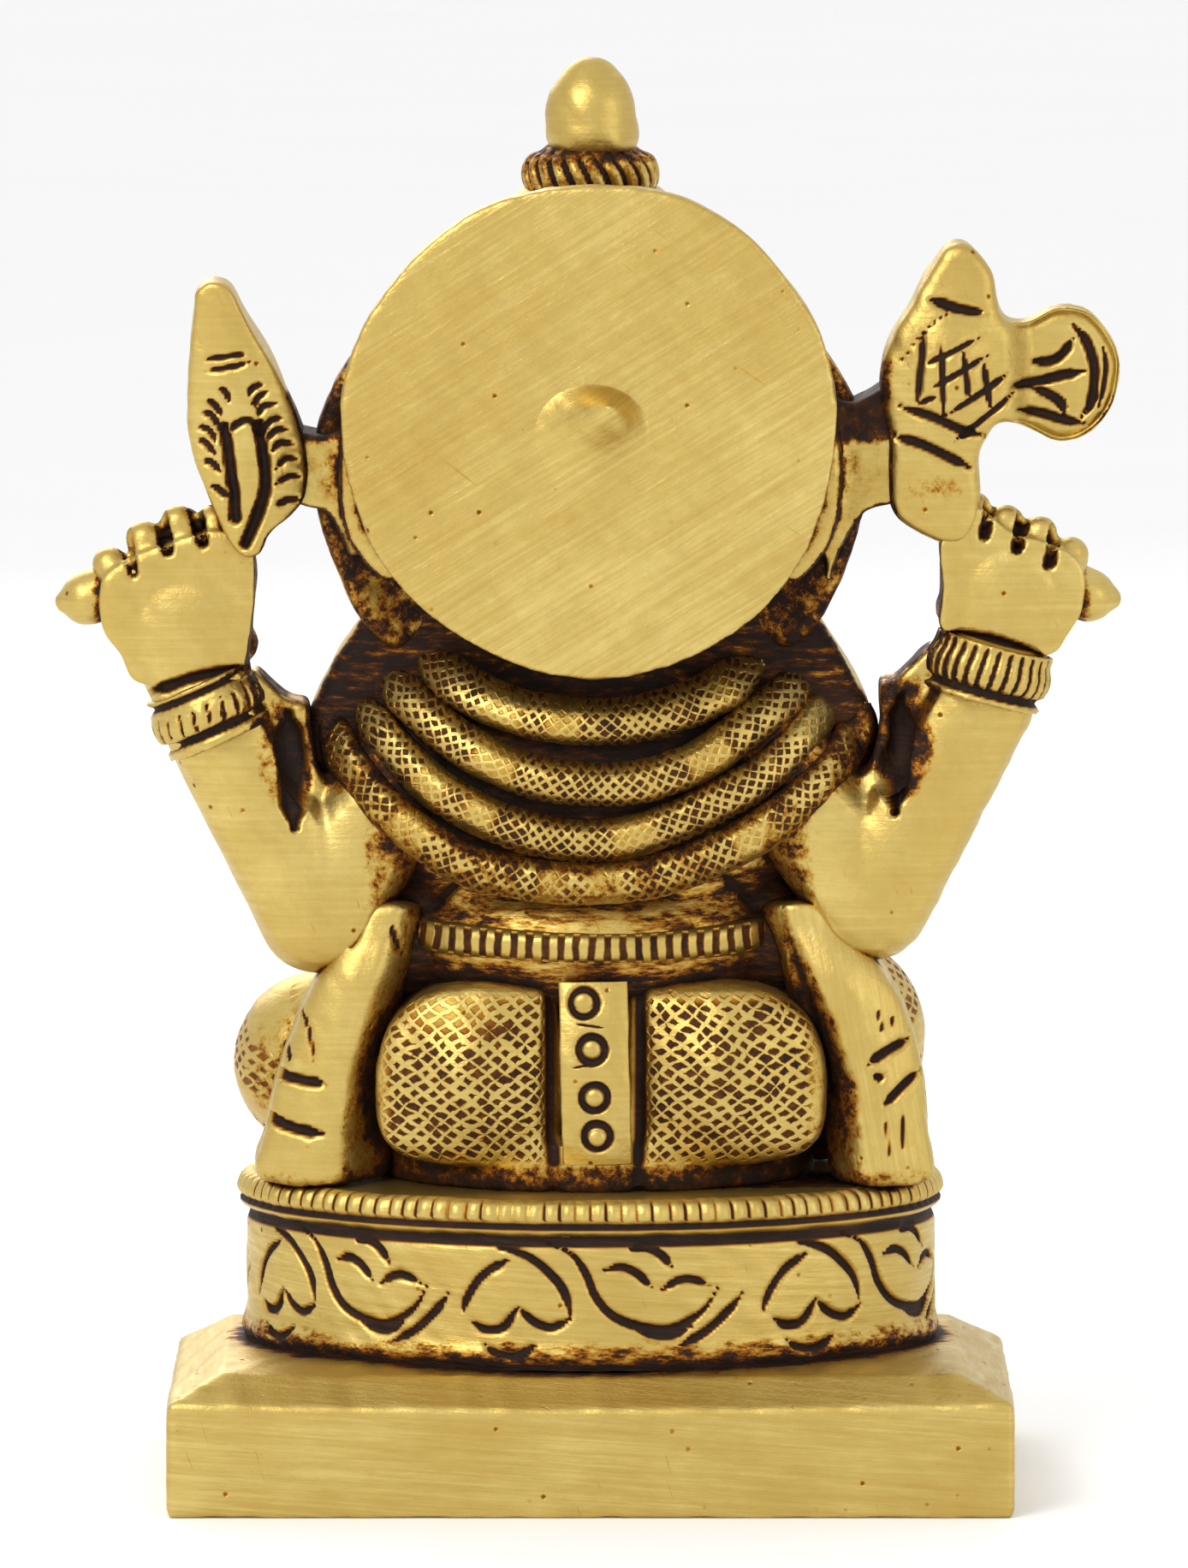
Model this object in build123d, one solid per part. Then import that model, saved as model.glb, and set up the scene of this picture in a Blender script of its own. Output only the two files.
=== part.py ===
from build123d import *

import os
from math import atan2, degrees

# Seated four-armed elephant-headed figure in cast brass, on an oval drum and a rectangular plinth.
# Row frame, millimetres: +Z up, the figure faces -Y, and +X is the figure's left.
# The origin is the middle of the foot face. Each casting is a solid of its own, and a later piece is
# cut back to seat on the pieces that it is brazed to. A point written for one side names that side.

# ---- driving dimensions -------------------------------------------------------------------------
PLINTH_WIDTH, PLINTH_DEPTH = 62.8, 44.0
PLINTH_EDGE_Z, PLINTH_TOP_Z = 8.6, 10.6
PLINTH_FRONT_CORNER_R, PLINTH_BACK_CORNER_R = 4.5, 1.4
PLINTH_SLOPE_WIDTH, PLINTH_SLOPE_DEPTH = 8, 6
DRUM_RX, DRUM_RY, DRUM_TOP_Z = 26.2, 18.0, 20.3
SEAT_OVERHANG, SEAT_TOP_Z, SEAT_RIM_R = 0.4, 23.1, 1.2

HIP_CENTRE, HIP_RADII = (0, 4.2, 31.2), (16.4, 10.2, 8.8)
CHEST_CENTRE, CHEST_RADII = (0, 1.5, 51.0), (19.0, 11.2, 14.0)
BELLY_CENTRE, BELLY_RADII = (0, -4.6, 41.0), (14.8, 12.2, 11.8)
PLEAT_WIDTH, PLEAT_STANDS, PLEAT_SHORT = 6.1, 1.0, 1.5
STUD_X, STUD_R, STUD_HEIGHTS = 0.2, 1.1, (26.9, 29.8, 33.8, 37.2)
BELT_LOW_Z, BELT_HIGH_Z, BELT_RX, BELT_RY, BELT_Y = 39.9, 42.9, 14.9, 10.4, 1.2

HEAD_CENTRE, HEAD_R = (0, 1.6, 78.4), 12.8
BROW_DOME, BROW_R = (4.6, -3.8, 84.0), 5.8
TRUNK_ROUTE = ((0, -11.5, 75.5), (0, -14.2, 69.0), (0.6, -16.0, 62.0), (2.4, -17.4, 56.0),
               (6.0, -18.6, 52.4), (9.4, -18.6, 51.8))
TRUNK_RADII = (4.6, 4.0, 3.4, 2.8, 2.3, 2.0)
EAR_EDGE = ((7.5, 88.0), (14.5, 88.2), (19.0, 83.0), (20.6, 76.5), (19.6, 70.5), (17.0, 65.0), (14.2, 62.8))
EAR_LOBE, EAR_BACK_Y, EAR_THICK = (8.0, 68.0), 6.4, 3.2
TUSK_TIP = {"left": (7.0, -17.2, 66.6), "right": (-6.4, -15.6, 67.6)}
TUSK_ROOT, TUSK_ROOT_R, TUSK_TIP_R = (4.9, -11.5, 70.4), 1.5, {"left": 0.7, "right": 1.0}
MUZZLE_CENTRE, MUZZLE_R = (0, -7.6, 74.4), 6.8
HALO_R, HALO_THICK, HALO_Z, HALO_BACK_Y, HALO_RIM_R = 18.5, 2.6, 80.1, 16.4, 0.7
RIVET_HEAD_R, RIVET_POINT_R, RIVET_HEAD_HIGH, RIVET_SHANK_R, RIVET_SHANK_LONG = 4.6, 0.9, 3.0, 1.6, 7.0
CROWN_BAND_CENTRE, CROWN_BAND_R, CROWN_BAND_HIGH = (0, 0.8, 87.0), 10.6, 3.2
CROWN_TIER_CENTRE, CROWN_TIER_LOW_R, CROWN_TIER_TOP_R, CROWN_TIER_HIGH = (0, 2.4, 92.0), 9.4, 5.0, 10.0
CROWN_LOTUS_CENTRE, CROWN_LOTUS_R, CROWN_LOTUS_HIGH = (0, 3.0, 98.5), 5.0, 3.8
FINIAL_CENTRE, FINIAL_RADII = (0, 4.0, 102.4), (3.75, 3.6, 4.6)

REAR_Y = 8.0
REAR_SHOULDER = {"left": (13.5, 5.5, 54.5), "right": (-13.5, 5.5, 55.0)}
REAR_ELBOW = {"left": (20.2, 7.4, 43.0), "right": (-20.8, 7.4, 44.4)}
REAR_WRIST = {"left": (27.9, REAR_Y, 57.3), "right": (-29.2, REAR_Y, 59.4)}
REAR_ARM_RADII = (5.0, 4.4, 3.9)
REAR_FIST = {"left": (30.6, REAR_Y, 66.4), "right": (-31.0, REAR_Y, 67.6)}
FIST_WRIST_R, FIST_KNUCKLE_R, FINGER_R, FINGER_STEP, FINGER_RISE = 3.9, 4.9, 1.75, 2.5, 0.9
CUFF_LEAN = {"left": 20, "right": -17}
CUFF_R, CUFF_LONG = 4.7, 4.6
HANDLE_OUTER = {"left": (37.9, REAR_Y, 66.7), "right": (-37.9, REAR_Y, 66.9)}
HANDLE_INNER = {"left": (27.0, REAR_Y, 71.4), "right": (-27.4, REAR_Y, 71.8)}
HANDLE_R, KNOB_R = 1.6, 2.0
BUD_FLAT = 0.68
NOOSE_FOOT, NOOSE_TIP, NOOSE_R = (25.5, REAR_Y, 71.2), (27.9, REAR_Y, 91.0), 4.4
NOOSE_PROFILE = ((0, 0.6), (0.3, 1.0), (0.55, 0.8), (0.8, 0.46), (1, 0.2))
AXE_FOOT, AXE_TIP, AXE_R, BLADE_R = (-25.6, REAR_Y, 73.0), (-27.4, REAR_Y, 93.6), 4.7, 4.7
AXE_NECK_CENTRE, AXE_NECK_SIZE = (-30.6, REAR_Y, 84.4), (6.0, 3.0, 5.0)
BLADE_CENTRE, BLADE_THICK = (-34.7, 84.2), 3.2
AXE_PROFILE = ((0, 0.55), (0.25, 0.62), (0.47, 1.0), (0.75, 0.62), (1, 0.2))

STRUT_CENTRE = {"left": (20.4, 7.6, 76.6), "right": (-20.4, 7.6, 76.0)}
STRUT_SIZE, STRUT_CORNER_R = {"left": (5.0, 4.4, 5.6), "right": (5.4, 4.4, 9.0)}, 1.4

SASH_BACK_Y, SASH_DEEP = 9.6, 8.5
SASH_EDGE = {
    "left": ((13.0, 43.8), (16.0, 43.2), (20.6, 38.0), (23.0, 32.0), (24.6, 24.8), (24.2, SEAT_TOP_Z),
             (17.6, SEAT_TOP_Z), (16.6, 30.0), (14.6, 38.0)),
    "right": ((-13.4, 44.0), (-16.4, 43.6), (-22.0, 39.0), (-24.6, 33.0), (-25.0, 25.4), (-24.6, SEAT_TOP_Z),
              (-18.6, SEAT_TOP_Z), (-17.8, 30.0), (-15.0, 38.0)),
}
KNEE = {"left": (20.1, -4.2, 30.4), "right": (-17.1, -4.2, 32.2)}
KNEE_R = {"left": 7.2, "right": 8.4}
HIP_JOINT_X, THIGH_R = 8, 6.2
# Each shin and foot: start, end, start radius, end radius.
SHIN = {"left": ((18.8, -9.4, 27.2), (1.0, -13.2, 26.4), 3.6, 2.9),
        "right": ((-18.4, -9.6, 28.2), (-2.6, -12.8, 31.0), 3.6, 2.8)}
FOOT = {"left": ((-8.4, -14.4, 25.4), (-1.4, -13.6, 25.9), 2.0, 2.6),
        "right": ((7.4, -14.6, 31.4), (0.4, -13.8, 31.4), 1.9, 2.5)}
FRONT_SHOULDER = {"left": (15.2, -3.6, 56.0), "right": (-15.2, -3.6, 56.0)}
FRONT_ELBOW = {"left": (18.6, -8.6, 45.8), "right": (-19.0, -8.2, 46.0)}
FRONT_WRIST = {"left": (13.4, -15.4, 41.4), "right": (-16.4, -14.4, 51.0)}
FRONT_ARM_RADII = (4.3, 3.7, 2.7)
ARMLET_PLACE, ARMLET_R, ARMLET_HIGH = 0.55, 4.7, 2.2
BRACELET_PLACE, BRACELET_R, BRACELET_HIGH, RING_RIM_R = 0.88, 3.5, 1.9, 0.5
BLESSING_PALM, BLESSING_RADII = (-14.6, -16.4, 55.2), (3.5, 1.9, 4.4)
FINGER_FIRST_X, FINGER_PITCH, FINGER_ROOT_Z, FINGER_TIP_Z = -17.0, 1.6, 57.0, 62.0
FINGER_ROOT_R, FINGER_TIP_R = 0.95, 0.75
THUMB = ((-12.0, -16.8, 54.5), (-10.6, -17.2, 58.2), 1.0, 0.8)
BOWL_PALM, BOWL_PALM_RADII = (12.0, -16.6, 41.0), (4.2, 3.4, 2.3)
BOWL_CENTRE, BOWL_R, BOWL_HIGH = (11.6, -16.8, 44.6), 4.7, 3.0
# Each sweet: its place from the bowl's centre, and its radius.
SWEETS = ((-1.9, 0.2, 2.1, 1.8), (1.9, 0.4, 2.1, 1.8), (0.0, -1.4, 2.2, 1.7))


# Collar strands down the back, from the neck out: half width of each, and its drop below STRAND_TOP_Z.
STRANDS = ((12.8, 3.6), (16.6, 7.6), (18.9, 11.4), (20.4, 14.9))
STRAND_TOP_Z, STRAND_HALF_HIGH, STRAND_HALF_WIDE, STRAND_STANDS = 62.0, 1.55, 1.1, 1.9
# Necklaces on the chest: half width, drop below NECKLACE_TOP_Z, half thickness, and how far each stands out.
NECKLACE_TOP_Z, NECKLACE_UPPER, NECKLACE_LOWER = 61.5, (9.5, 6.0, 0.9, 1.0), (12.5, 10.6, 1.1, 1.2)
PENDANT_CENTRE, PENDANT_R = (0, -12.0, 50.0), 2.0
SIDES = ("left", "right")
ROOM = 120


# ---- shapes that repeat -------------------------------------------------------------------------
def ellipsoid(centre, radii, tilt=(0, 0, 0)):
    return Location(centre, tilt) * scale(Sphere(1), by=radii)


def limb(start, end, start_r, end_r):
    """A round tapering bar with ball ends."""
    a, b = Vector(*start), Vector(*end)
    middle = Plane(origin=(a + b) * 0.5, z_dir=b - a)
    length = (b - a).length
    bar = Cylinder(start_r, length) if start_r == end_r else Cone(start_r, end_r, length)
    return middle * bar + Pos(*start) * Sphere(start_r) + Pos(*end) * Sphere(end_r)


def chain(points, radii):
    """Limbs laid end to end along a route, as one solid."""
    solid = limb(points[0], points[1], radii[0], radii[1])
    for i in range(1, len(points) - 1):
        solid += limb(points[i], points[i + 1], radii[i], radii[i + 1])
    return solid


def oval_slab(rx, ry, low, high, y=0):
    return Pos(0, y, low) * extrude(Ellipse(rx, ry), high - low)


def plate(outline, back_y, thickness, soften):
    """A flat casting drawn in the XZ plane, its back face at back_y, with softened rims."""
    sheet = extrude(Plane.XZ.offset(-back_y) * outline, thickness)
    return fillet(sheet.edges(), soften) if soften else sheet


def main_lump(shape):
    return shape.solids().sort_by(SortBy.VOLUME)[-1]


def seat_on(piece, *neighbours):
    """Cuts a piece back to the faces of the pieces it is brazed to, and keeps its main lump."""
    for other in neighbours:
        piece = piece - other
    return main_lump(piece)


def above(low_z, shape):
    room = Pos(0, 0, low_z) * Box(ROOM, ROOM, ROOM, align=(Align.CENTER, Align.CENTER, Align.MIN))
    return shape & room


def behind(y, shape):
    """The part of a shape on the +Y side of a plane."""
    return shape & (Pos(0, y, 60) * Box(ROOM, ROOM, 2 * ROOM, align=(Align.CENTER, Align.MIN, Align.CENTER)))


def before(y, shape):
    """The part of a shape on the -Y side of a plane."""
    return shape & (Pos(0, y, 60) * Box(ROOM, ROOM, 2 * ROOM, align=(Align.CENTER, Align.MAX, Align.CENTER)))


def grown(centre, radii, by):
    return ellipsoid(centre, tuple(r + by for r in radii))


# ---- base ---------------------------------------------------------------------------------------
def plinth():
    outline = Rectangle(PLINTH_WIDTH, PLINTH_DEPTH)
    outline = fillet(outline.vertices().filter_by(lambda v: v.Y < 0), PLINTH_FRONT_CORNER_R)
    back_corners = outline.vertices().filter_by(lambda v: v.Y > PLINTH_DEPTH / 2 - 0.1)
    outline = fillet(back_corners, PLINTH_BACK_CORNER_R)
    foot = extrude(outline, PLINTH_EDGE_Z)
    shrink = (1 - PLINTH_SLOPE_WIDTH / PLINTH_WIDTH, 1 - PLINTH_SLOPE_DEPTH / PLINTH_DEPTH, 1)
    slope = loft([Pos(0, 0, PLINTH_EDGE_Z) * outline, Pos(0, 0, PLINTH_TOP_Z) * scale(outline, by=shrink)])
    return main_lump(foot + slope)


def pedestal_drum():
    return main_lump(oval_slab(DRUM_RX, DRUM_RY, PLINTH_TOP_Z, DRUM_TOP_Z))


def seat_slab():
    slab = oval_slab(DRUM_RX + SEAT_OVERHANG, DRUM_RY + SEAT_OVERHANG, DRUM_TOP_Z, SEAT_TOP_Z)
    return main_lump(fillet(slab.edges(), SEAT_RIM_R))


# ---- trunk of the body --------------------------------------------------------------------------
def hips():
    return main_lump(above(SEAT_TOP_Z, ellipsoid(HIP_CENTRE, HIP_RADII)))


def back_pleat(hip):
    """The strap of folded cloth down the back of the hips."""
    skin = grown(HIP_CENTRE, HIP_RADII, PLEAT_STANDS) - hip
    high = BELT_LOW_Z - SEAT_TOP_Z - PLEAT_SHORT
    strip = Pos(0, 12, (SEAT_TOP_Z + BELT_LOW_Z) / 2) * Box(PLEAT_WIDTH, 12, high)
    return main_lump(skin & strip)


def pleat_studs(pleat):
    """Four domed studs down the pleat, each seated in it."""
    studs = []
    for z in STUD_HEIGHTS:
        drop = (z - HIP_CENTRE[2]) / (HIP_RADII[2] + PLEAT_STANDS)
        face_y = HIP_CENTRE[1] + (HIP_RADII[1] + PLEAT_STANDS) * (1 - drop * drop) ** 0.5
        studs.append(seat_on(Pos(STUD_X, face_y, z) * Sphere(STUD_R), pleat, hips()))
    return Compound(children=studs)


def torso(hip):
    body = ellipsoid(CHEST_CENTRE, CHEST_RADII) + ellipsoid(BELLY_CENTRE, BELLY_RADII)
    return seat_on(above(SEAT_TOP_Z, body), hip)


def waist_belt(hip, body):
    belt = oval_slab(BELT_RX, BELT_RY, BELT_LOW_Z, BELT_HIGH_Z, y=BELT_Y)
    return seat_on(behind(-1.0, belt), hip, body)


def strand(index, *neighbours):
    """One U-shaped strand of the heavy collar that hangs down the back."""
    half_width, drop = STRANDS[index]
    outer = Ellipse(half_width + STRAND_HALF_WIDE, drop + STRAND_HALF_HIGH)
    inner = Ellipse(half_width - STRAND_HALF_WIDE, drop - STRAND_HALF_HIGH)
    below = Pos(0, -20) * Rectangle(60, 40)
    ring = extrude(Plane.XZ * ((outer - inner) & below), -20)
    skin = grown(CHEST_CENTRE, CHEST_RADII, STRAND_STANDS) & (Pos(0, 0, STRAND_TOP_Z) * ring)
    return seat_on(behind(2.0, skin), *neighbours)


def chest_strand(half_width, drop, half, stands, body):
    """A necklace strand on the front of the chest."""
    loop = Ellipse(half_width + half, drop + half) - Ellipse(half_width - half, drop - half)
    lower = loop & (Pos(0, -20) * Rectangle(60, 40))
    ring = extrude(Plane.XZ * lower, 24)
    skin = grown(CHEST_CENTRE, CHEST_RADII, stands) - body
    return main_lump(before(-1.0, skin & (Pos(0, 0, NECKLACE_TOP_Z) * ring)))


def pendant(body, necklace):
    return seat_on(Pos(*PENDANT_CENTRE) * Sphere(PENDANT_R), body, necklace)


# ---- head, crown and halo -----------------------------------------------------------------------
def rivet_shank():
    shank = extrude(Plane.XZ.offset(-HALO_BACK_Y) * Circle(RIVET_SHANK_R), RIVET_SHANK_LONG)
    return Pos(0, 0, HALO_Z) * shank


def halo_rivet():
    """The stub that pins the halo to the back of the head, hammered to a pointed cap."""
    cap = Plane(origin=(0, HALO_BACK_Y, HALO_Z), z_dir=(0, 1, 0)) * Cone(
        RIVET_HEAD_R, RIVET_POINT_R, RIVET_HEAD_HIGH, align=(Align.CENTER, Align.CENTER, Align.MIN))
    return main_lump(cap + rivet_shank())


def halo_disc():
    disc = Pos(0, 0, HALO_Z) * extrude(Plane.XZ.offset(-HALO_BACK_Y) * Circle(HALO_R), HALO_THICK)
    return seat_on(fillet(disc.edges(), HALO_RIM_R), rivet_shank())


def head(body):
    dome_x, dome_y, dome_z = BROW_DOME
    skull = Pos(*HEAD_CENTRE) * Sphere(HEAD_R) + Pos(*MUZZLE_CENTRE) * Sphere(MUZZLE_R)
    skull += Pos(dome_x, dome_y, dome_z) * Sphere(BROW_R)
    skull += Pos(-dome_x, dome_y, dome_z) * Sphere(BROW_R)
    return seat_on(before(HALO_BACK_Y - HALO_THICK, skull), body, rivet_shank())


def trunk_nose(face, body):
    points = [Vector(*p) for p in TRUNK_ROUTE]
    last = len(points) - 1
    rings = []
    for i, point in enumerate(points):
        heading = points[min(i + 1, last)] - points[max(i - 1, 0)]
        rings.append(Plane(origin=point, x_dir=(0, 1, 0), z_dir=heading) * Circle(TRUNK_RADII[i]))
    return seat_on(loft(rings), face, body)


def ear(side, face, band):
    """A fan-shaped ear, thin, standing out behind the cheek."""
    sign = 1 if side == "left" else -1
    edge = [(sign * x, z) for x, z in EAR_EDGE]
    lobe = (sign * EAR_LOBE[0], EAR_LOBE[1])
    outline = make_face(Curve() + [Spline(*edge), Line(edge[-1], lobe), Line(lobe, edge[0])])
    return seat_on(plate(outline, EAR_BACK_Y, EAR_THICK, 0), face, band)


def tusk(side, face, trunk):
    sign = 1 if side == "left" else -1
    root = (sign * TUSK_ROOT[0], *TUSK_ROOT[1:])
    return seat_on(limb(root, TUSK_TIP[side], TUSK_ROOT_R, TUSK_TIP_R[side]), face, trunk)


def crown_band(face):
    band = Pos(*CROWN_BAND_CENTRE) * Cylinder(CROWN_BAND_R, CROWN_BAND_HIGH)
    return seat_on(fillet(band.edges(), 0.8), face)


def crown_tier(face, band):
    tier = Pos(*CROWN_TIER_CENTRE) * Cone(CROWN_TIER_LOW_R, CROWN_TIER_TOP_R, CROWN_TIER_HIGH)
    return seat_on(tier, face, band, crown_lotus())


def crown_lotus():
    lotus = Pos(*CROWN_LOTUS_CENTRE) * Cylinder(CROWN_LOTUS_R, CROWN_LOTUS_HIGH)
    return main_lump(fillet(lotus.edges(), 1.2))


def crown_finial(lotus):
    return seat_on(ellipsoid(FINIAL_CENTRE, FINIAL_RADII), lotus)


# ---- rear pair of arms --------------------------------------------------------------------------
def rear_arm(side, body):
    route = [REAR_SHOULDER[side], REAR_ELBOW[side], REAR_WRIST[side]]
    return seat_on(chain(route, REAR_ARM_RADII), body)


def rear_handle(side):
    """The grip through the fist, swelling to a knob outside it; its inner end carries the emblem."""
    return main_lump(limb(HANDLE_INNER[side], HANDLE_OUTER[side], HANDLE_R, KNOB_R))


def rear_fist(side, handle, arm):
    x, y, z = REAR_FIST[side]
    sign = 1 if side == "left" else -1
    fist = limb((x, y, z - 2.2), (x + sign * 0.3, y, z + 1.4), FIST_WRIST_R, FIST_KNUCKLE_R)
    for i in range(4):
        fist += Pos(x + sign * (3.9 - FINGER_STEP * i), y, z + 2.9 + FINGER_RISE * i) * Sphere(FINGER_R)
    return seat_on(fist, handle, arm)


def rear_cuff(side, arm, fist):
    wx, wy, wz = REAR_WRIST[side]
    sign = 1 if side == "left" else -1
    ring = fillet(Cylinder(CUFF_R, CUFF_LONG).edges(), 0.6)
    return seat_on(Location((wx + sign * 0.6, wy, wz + 1.5), (0, CUFF_LEAN[side], 0)) * ring, arm + fist)


def bud(foot, tip, radius, profile):
    """A pointed bud flattened front to back. The profile gives (share of height, share of radius)."""
    a, b = Vector(*foot), Vector(*tip)
    high = (b - a).length
    lean = degrees(atan2(b.X - a.X, b.Z - a.Z))
    rings = [Pos(0, 0, up * high) * Ellipse(radius * out, radius * out * BUD_FLAT) for up, out in profile]
    return Location(foot, (0, lean, 0)) * loft(rings)


def rope_noose(handle, fist, strut):
    return seat_on(bud(NOOSE_FOOT, NOOSE_TIP, NOOSE_R, NOOSE_PROFILE), handle, fist, strut)


def axe(handle, fist, strut):
    shaft = bud(AXE_FOOT, AXE_TIP, AXE_R, AXE_PROFILE)
    neck = Pos(*AXE_NECK_CENTRE) * Box(*AXE_NECK_SIZE)
    blade_x, blade_z = BLADE_CENTRE
    face = Plane.XZ.offset(-(REAR_Y + BLADE_THICK / 2)) * Circle(BLADE_R)
    blade = Pos(blade_x, 0, blade_z) * extrude(face, BLADE_THICK)
    return seat_on(shaft + neck + blade, handle, fist, strut)


def casting_strut(side, ear_piece, disc):
    """The web that ties the emblem to the ear and the halo."""
    strut = Pos(*STRUT_CENTRE[side]) * Box(*STRUT_SIZE[side])
    return seat_on(fillet(strut.edges().filter_by(Axis.Y), STRUT_CORNER_R), ear_piece, disc)


# ---- legs and cloth -----------------------------------------------------------------------------
def thigh(side, hip, body):
    x, y, z = KNEE[side]
    sign = 1 if side == "left" else -1
    leg = limb((sign * HIP_JOINT_X, 0, z), (x, y, z), THIGH_R, KNEE_R[side])
    return seat_on(above(SEAT_TOP_Z, leg), hip, body)


def shin(side, *neighbours):
    return seat_on(above(SEAT_TOP_Z, limb(*SHIN[side])), *neighbours)


def foot(side, *neighbours):
    return seat_on(above(SEAT_TOP_Z, limb(*FOOT[side])), *neighbours)


def sash_tail(side, *neighbours):
    """A stiff fold of the waist sash that drops from the belt to the seat behind each thigh."""
    outline = make_face(Polyline(*SASH_EDGE[side], close=True))
    return seat_on(plate(outline, SASH_BACK_Y, SASH_DEEP, 0), *neighbours)


# ---- front pair of arms -------------------------------------------------------------------------
def front_arm(side, *neighbours):
    route = [FRONT_SHOULDER[side], FRONT_ELBOW[side], FRONT_WRIST[side]]
    return seat_on(chain(route, FRONT_ARM_RADII), *neighbours)


def armlet(side, arm, *neighbours):
    a, b = Vector(*FRONT_SHOULDER[side]), Vector(*FRONT_ELBOW[side])
    ring = Plane(origin=a + (b - a) * ARMLET_PLACE, z_dir=b - a) * Cylinder(ARMLET_R, ARMLET_HIGH)
    return seat_on(fillet(ring.edges(), RING_RIM_R), arm, *neighbours)


def front_bracelet(side, arm, *neighbours):
    a, b = Vector(*FRONT_ELBOW[side]), Vector(*FRONT_WRIST[side])
    ring = Plane(origin=a + (b - a) * BRACELET_PLACE, z_dir=b - a) * Cylinder(BRACELET_R, BRACELET_HIGH)
    return seat_on(fillet(ring.edges(), RING_RIM_R), arm, *neighbours)


def blessing_hand(*neighbours):
    palm = ellipsoid(BLESSING_PALM, BLESSING_RADII)
    for i in range(4):
        x = FINGER_FIRST_X + FINGER_PITCH * i
        tip = (x + 0.1, -16.4, FINGER_TIP_Z - 0.5 * abs(i - 1.5))
        palm += limb((x, -16.6, FINGER_ROOT_Z), tip, FINGER_ROOT_R, FINGER_TIP_R)
    return seat_on(palm + limb(*THUMB), *neighbours)


def bowl_hand(*neighbours):
    return seat_on(ellipsoid(BOWL_PALM, BOWL_PALM_RADII), *neighbours)


def sweet_bowl(*neighbours):
    x, y, z = BOWL_CENTRE
    bowl = Pos(x, y, z + 2.4) * Sphere(BOWL_R)
    return seat_on(bowl & (Pos(x, y, z) * Box(12, 12, BOWL_HIGH)), *neighbours)


def sweets(*neighbours):
    """Three dumpling sweets heaped on the bowl."""
    x, y, z = BOWL_CENTRE
    heap = []
    for dx, dy, dz, r in SWEETS:
        ball = Pos(x + dx, y + dy, z + dz) * Sphere(r)
        heap.append(seat_on(ball, *neighbours, *heap))
    return Compound(children=heap)


# ---- assembly -----------------------------------------------------------------------------------
def build():
    parts = {"plinth": plinth(), "pedestal_drum": pedestal_drum(), "seat_slab": seat_slab()}
    hip = parts["hips"] = hips()
    body = parts["torso"] = torso(hip)
    parts["back_pleat"] = back_pleat(hip)
    parts["pleat_studs"] = pleat_studs(parts["back_pleat"])
    parts["waist_belt"] = waist_belt(hip, body)
    face = parts["head"] = head(body)
    parts["trunk"] = trunk_nose(face, body)
    parts["halo_disc"] = halo_disc()
    parts["halo_rivet"] = halo_rivet()
    parts["crown_band"] = crown_band(face)
    parts["crown_lotus"] = crown_lotus()
    parts["crown_tier"] = crown_tier(face, parts["crown_band"])
    parts["crown_finial"] = crown_finial(parts["crown_lotus"])
    parts["necklace_upper"] = chest_strand(*NECKLACE_UPPER, body)
    parts["necklace_lower"] = chest_strand(*NECKLACE_LOWER, body)
    parts["pendant"] = pendant(body, parts["necklace_lower"])
    for side in SIDES:
        ear_piece = parts[f"ear_{side}"] = ear(side, face, parts["crown_band"])
        parts[f"tusk_{side}"] = tusk(side, face, parts["trunk"])
        arm = parts[f"rear_arm_{side}"] = rear_arm(side, body)
        handle = parts[f"rear_handle_{side}"] = rear_handle(side)
        fist = parts[f"rear_fist_{side}"] = rear_fist(side, handle, arm)
        parts[f"rear_cuff_{side}"] = rear_cuff(side, arm, fist)
        strut = parts[f"casting_strut_{side}"] = casting_strut(side, ear_piece, parts["halo_disc"])
        emblem, shape = ("rope_noose", rope_noose) if side == "left" else ("axe", axe)
        parts[emblem] = shape(handle, fist, strut)
        parts[f"thigh_{side}"] = thigh(side, hip, body)
    rear_arms = [parts[f"rear_arm_{side}"] for side in SIDES]
    strands = []
    for i in range(len(STRANDS)):
        parts[f"collar_strand_{i + 1}"] = strand(i, body, *rear_arms, *strands[-1:])
        strands.append(parts[f"collar_strand_{i + 1}"])
    legs = [parts["thigh_left"], parts["thigh_right"], hip, body]
    parts["shin_left"] = shin("left", *legs)
    parts["foot_left"] = foot("left", parts["shin_left"], *legs)
    parts["shin_right"] = shin("right", parts["shin_left"], parts["foot_left"], *legs)
    parts["foot_right"] = foot("right", parts["shin_right"], parts["shin_left"], parts["foot_left"], *legs)
    for side in SIDES:
        near = [parts[f"rear_arm_{side}"], parts[f"thigh_{side}"], hip, body, parts["waist_belt"]]
        parts[f"sash_tail_{side}"] = sash_tail(side, *near)
        arm = parts[f"front_arm_{side}"] = front_arm(
            side, parts[f"rear_arm_{side}"], parts[f"thigh_{side}"], body, *strands[2:],
            parts[f"sash_tail_{side}"], parts["necklace_lower"])
        parts[f"armlet_{side}"] = armlet(side, arm, body, parts[f"rear_arm_{side}"])
        parts[f"front_bracelet_{side}"] = front_bracelet(side, arm, body)
    parts["blessing_hand"] = blessing_hand(parts["front_arm_right"], parts["front_bracelet_right"], body)
    bowl_rest = [parts["front_arm_left"], parts["front_bracelet_left"], body]
    parts["bowl_hand"] = bowl_hand(*bowl_rest)
    parts["sweet_bowl"] = sweet_bowl(parts["bowl_hand"], *bowl_rest)
    parts["sweets"] = sweets(parts["sweet_bowl"], parts["trunk"], *bowl_rest)
    return parts


def main():
    os.makedirs("parts", exist_ok=True)
    for name, solid in build().items():
        export_step(solid, f"parts/{name}.step")


main()
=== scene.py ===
from itertools import product
from math import cos, degrees, pi, radians, sin, sqrt, tau

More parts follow.
